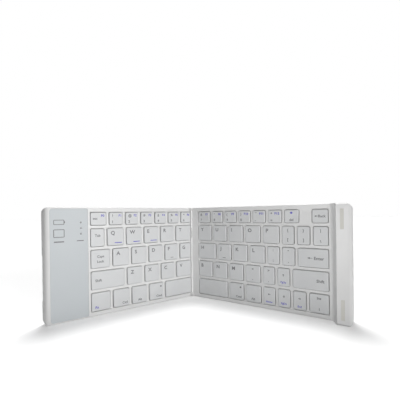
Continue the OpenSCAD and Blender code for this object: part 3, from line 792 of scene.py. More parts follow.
@dataclass(frozen=True)
class Cap:
    """The form of one cap, from its plan on the half and its height."""

    low: Vector
    high: Vector
    corner: float = 1.4
    corner_least: float = 0.12
    corner_shrink: float = 0.6
    corner_steps: int = 4
    dish: float = 0.06
    rim_drop: float = 0.01
    wall: float = 0.8
    skin: float = 0.9
    skirt_bevel: tuple[float, float] = (0.1, 0.05)
    stem: float = 1.5
    stem_bevel: float = 0.2
    stem_root: float = 0.3
    profile: tuple[tuple[float, float], ...] = (
        (0.08, 0.0), (0.0, 0.08), (0.02, 0.60), (0.04, 1.15), (0.08, 1.50), (0.17, 1.76),
        (0.33, 1.95), (0.60, 2.06))
    brim_inset: float = 0.85
    brim_shares: tuple[float, ...] = (1.0, 0.86, 0.66, 0.42, 0.18)

    @property
    def middle(self) -> Vector:
        """The middle of the cap's plan."""
        return (self.low + self.high) / 2

    def surface(self, x: float, y: float) -> float:
        """Height of the gently dished top at a point of the plan.

        Args:
            x: how far the point is to the right.
            y: how far it is to the rear.

        Returns:
            Its height.
        """
        half = (self.high - self.low) / 2
        u = min(1.0, abs(x - self.middle.x) / half.x)
        v = min(1.0, abs(y - self.middle.y) / half.y)
        return self.high.z - self.rim_drop - self.dish * (1 - u * u) * (1 - v * v)

    def ring(self, inset: float, z: float) -> Ring:
        """One closed outline of the cap, pulled in from its plan.

        Args:
            inset: how far the outline is pulled in.
            z: its height.

        Returns:
            Its points, anticlockwise seen from above.
        """
        radius = max(self.corner_least, self.corner - inset * self.corner_shrink)
        points = []
        for turn, (sx, sy) in enumerate(((1, 1), (-1, 1), (-1, -1), (1, -1))):
            cx = (self.high.x if sx > 0 else self.low.x) - sx * (inset + radius)
            cy = (self.high.y if sy > 0 else self.low.y) - sy * (inset + radius)
            for step in range(self.corner_steps + 1):
                angle = math.pi / 2 * (turn + step / self.corner_steps)
                points.append(Vector((cx + radius * math.cos(angle),
                                      cy + radius * math.sin(angle), z)))
        return points

    def rings(self) -> list[Ring]:
        """All outlines, from the roof inside, round the skirt, to the middle of the top.

        Returns:
            The outlines in the order in which the skin joins them.
        """
        low = self.low.z
        bevel_in, bevel_up = self.skirt_bevel
        made = [self.ring(self.wall, self.high.z - self.skin),
                self.ring(self.wall, low + bevel_up), self.ring(self.wall - bevel_in, low)]
        made += [self.ring(inset, low + rise) for inset, rise in self.profile]
        brim = self.ring(self.brim_inset, self.high.z)
        for share in self.brim_shares:
            shrunk = [self.middle.lerp(p, share) for p in brim]
            made.append([Vector((p.x, p.y, self.surface(p.x, p.y))) for p in shrunk])
        return made

    def stem_rings(self) -> list[Ring]:
        """The outlines of the round stem under the cap, from its foot into the roof.

        Returns:
            The outlines from the foot up.
        """
        foot, roof = self.low.z, self.high.z - self.skin
        return [circle_ring(self.middle.x, self.middle.y, z, radius) for z, radius in (
            (foot, self.stem - self.stem_bevel), (foot + self.stem_bevel, self.stem),
            (roof + self.stem_root, self.stem))]


class Printer:
    """Turns marks into thin meshes that lie on a surface."""

    cap_share = 0.70
    lift = 0.03
    boldness = 0.035
    curve_steps = 3
    dot_sides = 16
    shaft, barb = 0.09, 0.42

    def __init__(self) -> None:
        """Starts with no word drawn yet."""
        self.words: dict[str, bpy.types.Mesh] = {}

    def outline(self, text: str) -> bpy.types.Mesh:
        """A word as a flat mesh whose capitals are one unit high.

        Args:
            text: the word.

        Returns:
            Its mesh, kept for the next cap that carries it.
        """
        if text not in self.words:
            curve = bpy.data.curves.new("word", "FONT")
            curve.body = text
            curve.size = 1 / self.cap_share
            curve.resolution_u = self.curve_steps
            curve.extrude = 0.5
            curve.offset = self.boldness
            holder = linked("word", curve)
            bpy.context.view_layer.update()
            grown = holder.evaluated_get(bpy.context.evaluated_depsgraph_get())
            self.words[text] = bpy.data.meshes.new_from_object(grown)
            bpy.data.objects.remove(holder)
            bpy.data.curves.remove(curve)
        return self.words[text]

    def outline_of(self, shape: Shape) -> list[tuple[float, float]]:
        """The outline of a drawn mark inside a box from -0.5 to 0.5.

        Args:
            shape: which mark it is.

        Returns:
            Its corners in order.
        """
        if shape is Shape.BAR:
            return [(-0.5, -0.5), (0.5, -0.5), (0.5, 0.5), (-0.5, 0.5)]
        if shape is Shape.DOT:
            turn = 2 * math.pi / self.dot_sides
            return [(0.5 * math.cos(turn * k), 0.5 * math.sin(turn * k))
                    for k in range(self.dot_sides)]
        points = [(-0.5, -self.shaft), (0.0, -self.shaft), (0.0, -self.barb), (0.5, 0.0),
                  (0.0, self.barb), (0.0, self.shaft), (-0.5, self.shaft)]
        quarter_turns = (Shape.ARROW_RIGHT, Shape.ARROW_UP, Shape.ARROW_LEFT, Shape.ARROW_DOWN)
        for _ in range(quarter_turns.index(shape)):
            points = [(-y, x) for x, y in points]
        return points

    def shape_mesh(self, shape: Shape) -> bpy.types.Mesh:
        """A drawn mark as a thin mesh one unit across.

        Args:
            shape: which mark it is.

        Returns:
            Its mesh.
        """
        work = bmesh.new()
        outline = self.outline_of(shape)
        loft(work, [[Vector((x, y, z)) for x, y in outline] for z in (-0.5, 0.5)])
        return mesh_of(work, "shape")

    def add(self, work: bmesh.types.BMesh, mark: Mark, x: float, y: float,
            surface: Callable[[float, float], float]) -> None:
        """Lays a mark on a surface.

        Args:
            work: the mesh that collects the print.
            mark: what to lay.
            x: where its anchor comes along the half.
            y: where its anchor comes over the depth.
            surface: gives the height under a point.
        """
        drawn = isinstance(mark.what, Shape)
        source = self.shape_mesh(mark.what) if drawn else self.outline(mark.what).copy()
        points = [v.co.copy() for v in source.vertices]
        scale_x = mark.width if drawn else mark.height
        points = [Vector((p.x * scale_x, p.y * mark.height, p.z)) for p in points]
        left, right = min(p.x for p in points), max(p.x for p in points)
        low, high = min(p.y for p in points), max(p.y for p in points)
        across, along = mark.spot.value[2:]
        shift_x = {"LEFT": -left, "RIGHT": -right, "CENTER": -(left + right) / 2}[across]
        shift_y = {"BOTTOM": -low, "TOP": -high, "CENTER": -(low + high) / 2}[along]
        for vertex, p in zip(source.vertices, points):
            px, py = p.x + shift_x + x, p.y + shift_y + y
            vertex.co = (px, py, surface(px, py) + math.copysign(self.lift, p.z))
        before = len(work.faces)
        work.from_mesh(source)
        work.faces.ensure_lookup_table()
        for index in range(before, len(work.faces)):
            work.faces[index].material_index = INKS.index(mark.ink)
        bpy.data.meshes.remove(source)


class KeyField:
    """All caps of both halves, with their print."""

    most_margin = 3.4
    shading_angle = math.radians(50)

    def __init__(self, shop: Workshop, printer: Printer) -> None:
        """Keeps the workshop and the printer."""
        self.shop = shop
        self.printer = printer

    @staticmethod
    def caps_of(group: KeyGroup) -> list[Cap]:
        """Reads the plan of each cap of a node from its solids, in reading order.

        Args:
            group: the node and the marks on its caps.

        Returns:
            The caps from left to right.
        """
        mesh = solid_copy(group.node, group.board)
        work = welded(mesh)
        seen: set[int] = set()
        found: list[Cap] = []
        work.verts.ensure_lookup_table()
        for first in work.verts:
            if first.index in seen:
                continue
            island, stack = [], [first]
            seen.add(first.index)
            while stack:
                vertex = stack.pop()
                island.append(vertex.co)
                for edge in vertex.link_edges:
                    other = edge.other_vert(vertex)
                    if other.index not in seen:
                        seen.add(other.index)
                        stack.append(other)
            low = Vector(min(p[axis] for p in island) for axis in range(3))
            high = Vector(max(p[axis] for p in island) for axis in range(3))
            found.append(Cap(low, high))
        work.free()
        bpy.data.meshes.remove(mesh)
        return sorted(found, key=lambda cap: cap.low.x)

    def build(self) -> None:
        """Builds every cap and its print."""
        for group in KEY_GROUPS:
            caps = self.caps_of(group)
            self._caps(group, caps)
            self._print(group, caps)

    def _caps(self, group: KeyGroup, caps: Sequence[Cap]) -> None:
        """Builds the caps of one node as one piece.

        Args:
            group: the node that the piece replaces.
            caps: its caps from left to right.
        """
        work = bmesh.new()
        for cap in caps:
            loft(work, cap.rings())
            loft(work, cap.stem_rings())
        mesh = mesh_of(work, group.node)
        group.board.place(mesh)
        self.shop.piece(f"caps_{group.node}", mesh, f"{group.node}_body", (Slot.CAP_WHITE,),
                        (group.node,), self.shading_angle)

    def _print(self, group: KeyGroup, caps: Sequence[Cap]) -> None:
        """Lays the print of one node's caps as one piece.

        Args:
            group: the node and the marks on its caps.
            caps: its caps from left to right.
        """
        work = bmesh.new()
        for cap, marks in zip(caps, group.prints):
            size = cap.high - cap.low
            for mark in marks:
                share_x, share_y, across, _ = mark.spot.value
                edge = min(size.x * min(share_x, 1 - share_x), self.most_margin)
                x = cap.low.x + edge if across == "LEFT" else (
                    cap.high.x - edge if across == "RIGHT" else cap.low.x + share_x * size.x)
                self.printer.add(work, mark, x, cap.low.y + share_y * size.y, cap.surface)
        if not work.faces:
            work.free()
            return
        mesh = mesh_of(work, "print")
        group.board.place(mesh)
        self.shop.piece(f"print_{group.node}", mesh, f"{group.node}_body", INKS)


# Repeated details -------------------------------------------------------------------------------


class NodeTree:
    """A Geometry Nodes tree with named inputs, run on one object and turned into a plain mesh."""

    def __init__(self, name: str, lengths: dict[str, float], count: int | None = None) -> None:
        """Opens the tree.

        Args:
            name: the tree's name.
            lengths: the value of each input that is a length, in millimetres, by name.
            count: the value of an input named Count, where the tree has one.
        """
        self.tree = bpy.data.node_groups.new(name, "GeometryNodeTree")
        self.values: dict[str, float | int] = dict(lengths)
        self._socket("Geometry", "Geometry")
        for label in lengths:
            self._socket(label, "Float")
        if count is not None:
            self._socket("Count", "Int")
            self.values["Count"] = count
        self._socket("Finish", "Material")
        self._socket("Geometry", "Geometry", "OUTPUT")
        self.get = self.tree.nodes.new("NodeGroupInput").outputs
        self.end = self.tree.nodes.new("NodeGroupOutput")

    def _socket(self, label: str, kind: str, way: str = "INPUT") -> None:
        """Adds a socket to the tree's interface."""
        self.tree.interface.new_socket(label, in_out=way, socket_type=f"NodeSocket{kind}")

    def node(self, kind: str, feeds: dict | None = None,
             **settings: object) -> bpy.types.Node:
        """Adds a node to the tree."""
        return add_node(self.tree, kind, feeds, **settings)

    def vector(self, x: float | Socket = 0.0, y: float | Socket = 0.0,
               z: float | Socket = 0.0) -> Socket:
        """A vector of sockets or numbers."""
        return self.node("ShaderNodeCombineXYZ", {"X": x, "Y": y, "Z": z}).outputs["Vector"]

    def scalar_math(self, operation: str, one: Socket, two: float | Socket) -> Socket:
        """The result of an operation on two numbers."""
        return self.node("ShaderNodeMath", {0: one, 1: two}, operation=operation).outputs[0]

    def half(self, socket: Socket) -> Socket:
        """Half of a number."""
        return self.scalar_math("MULTIPLY", socket, 0.5)

    def vector_math(self, operation: str, one: Socket, two: Socket | None = None) -> Socket:
        """The result of an operation on one or two vectors."""
        feeds = {0: one} if two is None else {0: one, 1: two}
        return self.node("ShaderNodeVectorMath", feeds, operation=operation).outputs[0]

    def raised(self, mesh: Socket, height: Socket) -> Socket:
        """A mesh that is moved up by a height."""
        return self.node("GeometryNodeTransform", {
            "Geometry": mesh, "Translation": self.vector(z=height)}).outputs["Geometry"]

    def close(self, places: Socket, detail: Socket) -> None:
        """Ends the tree: the detail on every point of a mesh, made real and given its finish.

        Args:
            places: a mesh with one point for each copy.
            detail: the mesh that is copied.
        """
        points = self.node("GeometryNodeMeshToPoints", {"Mesh": places}).outputs[0]
        spread = self.node("GeometryNodeInstanceOnPoints", {
            "Points": points, "Instance": detail}).outputs["Instances"]
        real = self.node("GeometryNodeRealizeInstances", {"Geometry": spread}).outputs[0]
        dressed = self.node("GeometryNodeSetMaterial", {
            "Geometry": real, "Material": self.get["Finish"]}).outputs[0]
        self.tree.links.new(dressed, self.end.inputs["Geometry"])

    def run(self, places: Sequence[Point], finish: bpy.types.Material) -> bpy.types.Mesh:
        """Runs the tree on loose points.

        Args:
            places: the points that the tree starts from.
            finish: the material that it sets.

        Returns:
            The plain mesh that it makes.
        """
        mesh = bpy.data.meshes.new("places")
        mesh.from_pydata(places, [], [])
        holder = linked("holder", mesh)
        modifier = holder.modifiers.new("details", "NODES")
        modifier.node_group = self.tree
        given = {**self.values, "Finish": finish}
        for item in self.tree.interface.items_tree:
            if item.in_out == "INPUT" and item.name in given:
                modifier[item.identifier] = given[item.name]
        bpy.context.view_layer.update()
        grown = holder.evaluated_get(bpy.context.evaluated_depsgraph_get())
        plain = bpy.data.meshes.new_from_object(grown)
        bpy.data.objects.remove(holder)
        return plain


@dataclass
class ScrewSet:
    """The casing screws of one half: a low round head with a cross recess on a plain shank."""

    shop: Workshop
    board: Board
    node: str
    head_radius: float = 1.5
    head_height: float = 0.8
    edge: float = 0.25
    shank_radius: float = 0.7
    shank_length: float = 3.8
    recess_length: float = 1.7
    recess_width: float = 0.4
    recess_depth: float = 0.35
    head_level: float = -7.3
    head_sides: int = 32
    shank_sides: int = 20
    radii_within: float = 3.0
    radii_apart: float = 4.0

    def places(self) -> list[Point]:
        """The middle of each head on the half, read from the solids.

        Returns:
            The points in the half's own millimetres.
        """
        mesh = solid_copy(self.node, self.board)
        flat = [v.co.xy for v in mesh.vertices]
        bpy.data.meshes.remove(mesh)
        within, apart = (self.head_radius * n for n in (self.radii_within, self.radii_apart))
        found: list[Point] = []
        for point in flat:
            if all(math.dist(point, place[:2]) > apart for place in found):
                near = [p for p in flat if math.dist(p, point) < within]
                x, y = ((min(p[axis] for p in near) + max(p[axis] for p in near)) / 2
                        for axis in range(2))
                found.append((x, y, self.head_level))
        return found

    def build(self) -> None:
        """Builds the screws as one piece."""
        tree = NodeTree("screw_set_" + self.node, {
            "Head Radius": self.head_radius, "Head Height": self.head_height, "Edge": self.edge,
            "Shank Radius": self.shank_radius, "Shank Length": self.shank_length,
            "Recess Length": self.recess_length, "Recess Width": self.recess_width,
            "Recess Depth": self.recess_depth})
        get = tree.get
        body_height = tree.scalar_math("SUBTRACT", get["Head Height"], get["Edge"])
        crown = tree.node("GeometryNodeMeshCone", {
            "Vertices": self.head_sides, "Radius Top": get["Head Radius"],
            "Radius Bottom": tree.scalar_math("SUBTRACT", get["Head Radius"], get["Edge"]),
            "Depth": get["Edge"]})
        whole = tree.node("GeometryNodeMeshBoolean", operation="UNION")
        tree.tree.links.new(crown.outputs["Mesh"], whole.inputs["Mesh 2"])
        for sides, radius, height, foot in (
                (self.head_sides, get["Head Radius"], body_height, get["Edge"]),
                (self.shank_sides, get["Shank Radius"], get["Shank Length"],
                 get["Head Height"])):
            drum = tree.node("GeometryNodeMeshCylinder", {
                "Vertices": sides, "Radius": radius, "Depth": height}).outputs["Mesh"]
            raised = tree.raised(drum, tree.scalar_math("ADD", tree.half(height), foot))
            tree.tree.links.new(raised, whole.inputs["Mesh 2"])
        cut = tree.node("GeometryNodeMeshBoolean", {"Mesh 1": whole.outputs["Mesh"]},
                        operation="DIFFERENCE")
        depth = tree.scalar_math("MULTIPLY", get["Recess Depth"], 2.0)
        for along, over in (("Recess Length", "Recess Width"), ("Recess Width", "Recess Length")):
            bar = tree.node("GeometryNodeMeshCube", {
                "Size": tree.vector(get[along], get[over], depth)})
            tree.tree.links.new(bar.outputs["Mesh"], cut.inputs["Mesh 2"])
        tree.close(get["Geometry"], cut.outputs["Mesh"])
        mesh = tree.run(self.places(), self.shop.palette.get(Slot.SCREW_WHITE))
        self.board.place(mesh)
        self.shop.piece(f"set_of_{self.node}", mesh, self.board.body, (Slot.SCREW_WHITE,),
                        (self.node,))


@dataclass
class GripRibs:
    """A row of low rounded ribs for a fingertip, on a knob or a door."""

    shop: Workshop
    board: Board
    name: str
    body: str
    slot: Slot
    start: Point
    step: Point
    size: Point
    count: int
    roundness: float = 0.3
    grid: int = 5

    def build(self) -> None:
        """Builds the ribs as one piece."""
        names = ("Rib Length", "Rib Width", "Rib Height")
        tree = NodeTree("grip_ribs_" + self.name, dict(zip(names, self.size)), self.count)
        get = tree.get
        line = tree.node("GeometryNodeMeshLine", {
            "Count": get["Count"], "Start Location": self.start, "Offset": self.step})
        rib = tree.node("GeometryNodeMeshCube", {
            "Size": tree.vector(*(get[name] for name in names)),
            **{f"Vertices {axis}": self.grid for axis in "XYZ"}})
        place = tree.node("GeometryNodeInputPosition").outputs[0]
        half = tree.vector(*(tree.half(get[name]) for name in names))
        unit = tree.vector_math("DIVIDE", place, half)
        ball = tree.vector_math("NORMALIZE", unit)
        eased = tree.node("ShaderNodeMix", {
            "Factor": self.roundness, "A": unit, "B": ball}, data_type="VECTOR")
        soft = tree.node("GeometryNodeSetPosition", {
            "Geometry": rib.outputs["Mesh"],
            "Position": tree.vector_math("MULTIPLY", eased.outputs["Result"], half)})
        tree.close(line.outputs[0], soft.outputs["Geometry"])
        mesh = tree.run([(0.0, 0.0, 0.0)], self.shop.palette.get(self.slot))
        self.board.place(mesh)
        self.shop.piece(self.name, mesh, self.body, (self.slot,))


# Sub-assemblies ---------------------------------------------------------------------------------


def above(level: float) -> Callable[[Vector, Vector], bool]:
    """Makes a choice of the edges that lie wholly above a level of the half."""
    return lambda a, b: min(a.z, b.z) > level


def below(level: float) -> Callable[[Vector, Vector], bool]:
    """Makes a choice of the edges that lie wholly below a level of the half."""
    return lambda a, b: max(a.z, b.z) < level


@dataclass
class Casing:
    """One half's casing: frame, back shell, pads, screws, plates and the parts under the keys."""

    shop: Workshop
    board: Board
    side: str
    web_top: float = -2.2
    seam: float = -4.0
    back: float = -7.6
    depth: float = 96.0
    near: float = 0.05
    level_within: float = 0.02
    opening_round: float = 0.22
    seam_round: float = 0.16
    pad_round: float = 0.14

    def _on_seam(self, a: Vector, b: Vector) -> bool:
        """True for an edge that lies in the seam between frame and shell, on the outside."""
        return all(abs(p.z - self.seam) < self.level_within
                   and (p.y < self.near or p.y > self.depth - self.near) for p in (a, b))

    def _frame_edge(self, a: Vector, b: Vector) -> bool:
        """True for the rims of the openings, the step round the keys and the seam."""
        return above(self.web_top - self.near)(a, b) or self._on_seam(a, b)

    def _shell_edge(self, a: Vector, b: Vector) -> bool:
        """True for edges of the outer back face and the seam."""
        return below(self.back + self.near)(a, b) or self._on_seam(a, b)

    def build(self) -> None:
        """Builds the casing."""
        for name, part, slot, radius, chosen in (
                ("key_frame", "top_frame", Slot.CASING_WHITE, self.opening_round,
                 self._frame_edge),
                ("back_casing", "back_shell", Slot.CASING_WHITE, self.seam_round,
                 self._shell_edge),
                ("rest_pads", "pads", Slot.PAD_RUBBER, self.pad_round, every_edge)):
            self.shop.rounded(f"{name}_{self.side}", f"{self.side}_{part}", self.board,
                              self.board.body, slot, radius, chosen)
        ScrewSet(self.shop, self.board, f"{self.side}_screws").build()
        for part, slot in (("key_plate", Slot.PLATE_STEEL), ("contact_sheet", Slot.SHEET_FILM),
                           ("dome_sheet", Slot.DOME_RUBBER), ("scissor_links", Slot.LINK_WHITE)):
            self.shop.dress(f"{self.side}_{part}", slot)


@dataclass
class BatteryBar:
    """The raised bar at the right end: cover, door with its ribs, cells and contacts."""

    shop: Workshop
    board: Board = RIGHT
    edge: float = 0.3
    rim_level: float = -0.7
    ribs_from: Point = (151.26, 45.0, -5.6)
    rib_step: Point = (0.0, 1.2, 0.0)
    rib_size: Point = (0.4, 0.5, 1.8)
    rib_count: int = 6

    def build(self) -> None:
        """Builds the bar."""
        shop, white = self.shop, Slot.CASING_WHITE
        shop.rounded("battery_bar_cover", "bar_cover", self.board, "right_half", white,
                     self.edge, above(self.rim_level))
        shop.rounded("battery_bay_door", "battery_door", self.board, "door", white, self.edge)
        GripRibs(shop, self.board, "door_grip_ribs", "door", white, self.ribs_from,
                 self.rib_step, self.rib_size, self.rib_count).build()
        shop.dress("battery_cells", Slot.CELL_WRAP)
        shop.dress("battery_contacts", Slot.CONTACT_METAL)


@dataclass
class StatusPanel:
    """The blank panel at the left end, its lights and plain marks, the board and the switch."""

    shop: Workshop
    printer: Printer
    board: Board = LEFT
    level: float = -0.8
    near: float = 0.05
    panel_round: float = 0.18
    lens_round: float = 0.2
    lens_steps: int = 3
    knob_round: float = 0.2
    marks_at: float = -127.4
    lights_at: float = -111.4
    rear: float = 96.0
    outlines: tuple[tuple[float, float, float, float], ...] = (
        (12.6, 7.4, 3.6, 0.5), (21.8, 7.6, 6.2, 0.6))
    nub: tuple[float, float, float, float] = (4.1, 12.6, 0.8, 1.6)
    mark_line: tuple[float, float, float] = (28.8, 7.4, 1.0)
    light_line: tuple[float, float, float] = (28.6, 5.4, 0.8)

    def _mark_bars(self) -> list[tuple[float, float, float, float]]:
        """Middle x, middle y, width and height of each plain bar that makes up the marks.

        Returns:
            The bars in the half's own millimetres.
        """
        bars: list[tuple[float, float, float, float]] = []
        x = self.marks_at
        for drop, w, h, line in self.outlines:
            y = self.rear - drop
            bars += [(x, y + h / 2, w, line), (x, y - h / 2, w, line),
                     (x - w / 2, y, line, h), (x + w / 2, y, line, h)]
        shift, drop, w, h = self.nub
        bars.append((x + shift, self.rear - drop, w, h))
        for at, (drop, w, h) in ((x, self.mark_line), (self.lights_at, self.light_line)):
            bars.append((at, self.rear - drop, w, h))
        return bars

    def build(self) -> None:
        """Builds the panel and what belongs to it."""
        shop, board = self.shop, self.board
        face = above(self.level - self.near)
        shop.rounded("blank_panel", "status_panel", board, "left_half", Slot.PANEL_GREY,
                     self.panel_round, face)
        shop.rounded("light_lenses", "status_lights", board, "left_half", Slot.LIGHT_CLEAR,
                     self.lens_round, face, self.lens_steps)
        work = bmesh.new()
        for x, y, w, h in self._mark_bars():
            self.printer.add(work, Mark(Shape.BAR, Spot.MIDDLE, h, Slot.INK_DARK, w), x, y,
                             lambda u, v: self.level)
        mesh = mesh_of(work, "marks")
        board.place(mesh)
        shop.piece("panel_marks", mesh, "left_half", (Slot.INK_DARK,))
        shop.dress("controller_board", Slot.BOARD_GREEN)
        shop.rounded("switch_knob", "power_switch", board, "switch", Slot.SWITCH_GREY,
                     self.knob_round)


@dataclass
class StandTongue:
    """The tongue that slides out of the back, with its crescent lip."""

    shop: Workshop
    board: Board = LEFT
    edge: float = 0.16
    back_face: float = -7.5

    def build(self) -> None:
        """Builds the tongue."""
        self.shop.rounded("stand_slide_tongue", "stand_tongue", self.board, "tongue",
                          Slot.CASING_WHITE, self.edge, below(self.back_face))


@dataclass
class FoldHinge:
    """Hinge leaves and pins at both ends of the fold, and the ribbon that crosses it."""

    shop: Workshop
    leaf_round: float = 0.12
    bow_steps: int = 40
    right_steps: int = 6
    left_steps: int = 12
    tracks: int = 12
    high_share: float = 0.5
    low_share: float = 0.35
    level: float = -5.3
    thickness: float = 0.2
    front: float = 63.05
    width: float = 11.0
    right_reach: float = 16.0
    left_reach: float = 110.28
    blend_reach: float = 3.0

    def _section(self) -> list[tuple[Vector, Vector]]:
        """Points along the ribbon in the frame, each with the direction out of the keys.

        Returns:
            The points and directions from the right half's end to the left one's.
        """

        def out_at(angle: float) -> Vector:
            """The direction out of a surface that leans by an angle."""
            return Vector((-math.sin(angle), -math.cos(angle), 0))

        mid = self.level - self.thickness / 2
        lean = RIGHT.lean
        made = [(RIGHT.matrix @ Vector((self.right_reach * (1 - k / self.right_steps), 0, mid)),
                 out_at(lean)) for k in range(self.right_steps)]
        pivot = RIGHT.matrix @ Vector((0, 0, 0))
        for k in range(self.bow_steps + 1):
            out = out_at(lean * (1 - 2 * k / self.bow_steps))
            made.append((pivot + out * mid * MM, out))
        for k in range(1, self.left_steps + 1):
            x = -self.left_reach * k / self.left_steps
            made.append((LEFT.matrix @ Vector((x, 0, mid)), out_at(-lean)))
        return made

    def ribbon(self) -> bpy.types.Mesh:
        """The ribbon as one thin strip, with the fine cuts between its tracks as ridges.

        Returns:
            The ribbon's mesh in the frame.
        """
        work = bmesh.new()
        rows = []
        for point, out in self._section():
            top, low = [], []
            for k in range(self.tracks + 1):
                height = self.front + k / self.tracks * self.width
                ridge = self.thickness * (self.high_share if k % 2 else self.low_share)
                at = Vector((point.x, point.y, height * MM))
                top.append(work.verts.new(at + out * ridge * MM))
                low.append(work.verts.new(at - out * ridge * MM))
            rows.append(top + low[::-1])
        for one, two in zip(rows, rows[1:]):
            for k in range(len(one)):
                work.faces.new((one[k - 1], two[k - 1], two[k], one[k]))
        work.faces.new(rows[0])
        work.faces.new(rows[-1][::-1])
        bmesh.ops.recalc_face_normals(work, faces=work.faces)
        return mesh_of(work, "ribbon")

    def build(self) -> None:
        """Builds the hinge and the ribbon."""
        shop = self.shop
        for side, board in (("left", LEFT), ("right", RIGHT)):
            shop.rounded(f"hinge_knuckles_{side}", f"{side}_hinge_leaves", board, board.body,
                         Slot.SCREW_WHITE, self.leaf_round)
        shop.dress("hinge_pins", Slot.HINGE_STEEL)
        mesh = self.ribbon()
        mesh.polygons.foreach_set("use_smooth", [True] * len(mesh.polygons))
        mesh.materials.append(shop.palette.get(Slot.RIBBON_FILM))
        strip = linked("fold_ribbon", mesh)
        start = RIGHT.matrix @ Vector((self.blend_reach, 0, self.level))
        end = LEFT.matrix @ Vector((-self.blend_reach, 0, self.level))
        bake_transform(strip)
        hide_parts("ribbon_cable")


# Studio -----------------------------------------------------------------------------------------


def hang(light: bpy.types.Light, power: float, way: Vector) -> bpy.types.Object:
    """Adds a light to the scene.

    Args:
        light: the light.
        power: its strength or power.
        way: from what it lights to the light.

    Returns:
        Its object.
    """
    light.energy = power
    holder = linked(light.name, light)
    holder.rotation_mode = "QUATERNION"
    holder.rotation_quaternion = way.to_track_quat("Z", "Y")
    return holder


@dataclass(frozen=True)
class Lamp:
    """A far lamp: where it stands as seen from the object, its strength and how broad it looks."""

    name: str
    way: Point
    strength: float
    spread: float

    def build(self) -> None:
        """Adds the lamp to the scene."""
        light = bpy.data.lights.new(self.name, "SUN")
        light.angle = math.radians(self.spread)
        hang(light, self.strength, Vector(self.way))


@dataclass(frozen=True)
class SpotLamp:
    """A near lamp in front of the fold with a broad soft cone that lights both halves."""

    name: str
    stand: Point
    aim: Point
    power: float
    cone: float
    radius: float
    blend: float = 0.5

    def build(self) -> None:
        """Adds the lamp to the scene; its places are measured from the foot of the fold."""
        light = bpy.data.lights.new(self.name, "SPOT")
        light.spot_size = math.radians(self.cone)
        light.spot_blend = self.blend
        light.shadow_soft_size = self.radius
        holder = hang(light, self.power, Vector(self.stand) - Vector(self.aim))
        holder.location = RIGHT.matrix.translation + Vector(self.stand)


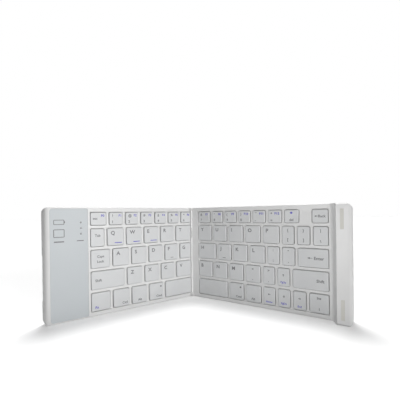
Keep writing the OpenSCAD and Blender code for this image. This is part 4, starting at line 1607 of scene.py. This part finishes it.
@dataclass
class Studio:
    """Floor, lamps, white surroundings, and a camera that stands where the photograph's did."""

    picture: float = 400.0
    sensor: float = 36.0
    focal: float = 259.5
    centre_drop: float = 16.0
    sight: tuple[float, float] = (0.01, 20.0)
    stand_off: Point = (0.0047, -0.2828, 0.0874)
    yaw: float = math.radians(0.93)
    pitch: float = math.radians(0.08)
    roll: float = math.radians(-0.75)
    lamps: tuple[Lamp | SpotLamp, ...] = (
        Lamp("key", (0.70, -0.66, 0.28), 0.85, 12.0),
        Lamp("top", (0.0, 0.30, 0.95), 2.3, 22.0),
        SpotLamp("front", (0.02, -0.235, 0.078), (0.0, 0.0, 0.045), 0.56, 120.0, 0.05),
    )
    front_way: Point = (0.10, -0.95, 0.20)
    broad_from: float = 0.1
    broad_to: float = 0.85
    surround: float = 0.24
    surround_behind: float = 0.5
    surround_side: float = 0.03
    shine_side: float = 0.1
    floor_reach: float = 6.0
    floor_colour: float = 0.9
    floor_bounce: float = 0.35
    floor_glow: float = 0.2

    @staticmethod
    def _seen(tree: Tree) -> Socket:
        """A socket that is one for rays that show the surroundings themselves.

        Args:
            tree: the material's or the world's tree.

        Returns:
            The socket.
        """
        path = add_node(tree, "ShaderNodeLightPath").outputs
        total = path["Is Camera Ray"]
        for name in ("Is Glossy Ray", "Is Transmission Ray"):
            total = add_node(tree, "ShaderNodeMath", {0: total, 1: path[name]},
                             operation="MAXIMUM").outputs[0]
        return total

    def _camera(self) -> None:
        """Sets the camera from the fit of the outline."""
        data = bpy.data.cameras.new("camera")
        data.sensor_width = self.sensor
        data.lens = self.sensor * self.focal / self.picture
        data.shift_y = self.centre_drop / self.picture
        data.clip_start, data.clip_end = self.sight
        right, forward, up = (Matrix.Rotation(self.roll, 3, "Y")
                              @ Matrix.Rotation(self.pitch, 3, "X")
                              @ Matrix.Rotation(self.yaw, 3, "Z"))
        place = RIGHT.matrix.translation + Vector(self.stand_off)
        placed = Matrix.Identity(4)
        for row in range(3):
            placed[row][:] = right[row], up[row], -forward[row], place[row]
        camera = linked("camera", data)
        camera.matrix_world = placed
        bpy.context.scene.camera = camera

    def _floor(self) -> None:
        """Lays a pale floor that reads as white but keeps the shadow."""
        reach = self.floor_reach
        mesh = bpy.data.meshes.new("floor")
        mesh.from_pydata([(x * reach, y * reach, 0) for x, y in (
            (-1, -1), (1, -1), (1, 1), (-1, 1))], [], [(0, 1, 2, 3)])
        material = bpy.data.materials.new("pale_floor")
        material.use_nodes = True
        tree = material.node_tree
        shader = tree.nodes["Principled BSDF"]
        seen = self._seen(tree)
        tone = ranged(tree, seen, self.floor_bounce, self.floor_colour)
        glow = ranged(tree, seen, 0.0, self.floor_glow)
        tree.links.new(tone, shader.inputs["Base Color"])
        tree.links.new(glow, shader.inputs["Emission Strength"])
        shader.inputs["Emission Color"].default_value = (1.0, 1.0, 1.0, 1.0)
        shader.inputs["Roughness"].default_value = 1.0
        shader.inputs["Specular IOR Level"].default_value = 0.0
        mesh.materials.append(material)
        linked("floor", mesh)

    def _surroundings(self) -> None:
        """White to the eye, and a soft light on the object from the front and from behind."""
        world = bpy.data.worlds.new("surroundings")
        bpy.context.scene.world = world
        world.use_nodes = True
        tree = world.node_tree
        facing = add_node(tree, "ShaderNodeVectorMath", {
            0: add_node(tree, "ShaderNodeTexCoord").outputs["Generated"],
            1: Vector(self.front_way).normalized()}, operation="DOT_PRODUCT").outputs["Value"]
        front, behind = (
            add_node(tree, "ShaderNodeMapRange", {
                "Value": facing, "From Min": sign * self.broad_from,
                "From Max": sign * self.broad_to},
                interpolation_type="SMOOTHSTEP").outputs["Result"] for sign in (1.0, -1.0))
        soft, shine = (
            ranged(tree, front, ranged(tree, behind, side, far), near)
            for side, far, near in ((self.surround_side, self.surround_behind, self.surround),
                                    (self.shine_side, 1.0, 1.0)))
        path = add_node(tree, "ShaderNodeLightPath").outputs
        lit = ranged(tree, path["Is Glossy Ray"], soft, shine)
        shown = ranged(tree, path["Is Camera Ray"], lit, 1.0)
        through = ranged(tree, path["Is Transmission Ray"], shown, 1.0)
        back = tree.nodes["Background"]
        back.inputs["Color"].default_value = (1.0, 1.0, 1.0, 1.0)
        tree.links.new(through, back.inputs["Strength"])

    def build(self) -> None:
        """Builds the studio."""
        self._camera()
        self._floor()
        self._surroundings()
        for lamp in self.lamps:
            lamp.build()
        bpy.context.scene.view_settings.view_transform = "Standard"


def main() -> None:
    """Builds the studio and every sub-assembly in order."""
    logging.basicConfig(level=logging.INFO, format="%(message)s")
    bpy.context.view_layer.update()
    shop, printer = Workshop(), Printer()
    Studio().build()
    Casing(shop, LEFT, "left").build()
    Casing(shop, RIGHT, "right").build()
    BatteryBar(shop).build()
    StatusPanel(shop, printer).build()
    StandTongue(shop).build()
    FoldHinge(shop).build()
    KeyField(shop, printer).build()


if __name__ == "__main__":
    main()
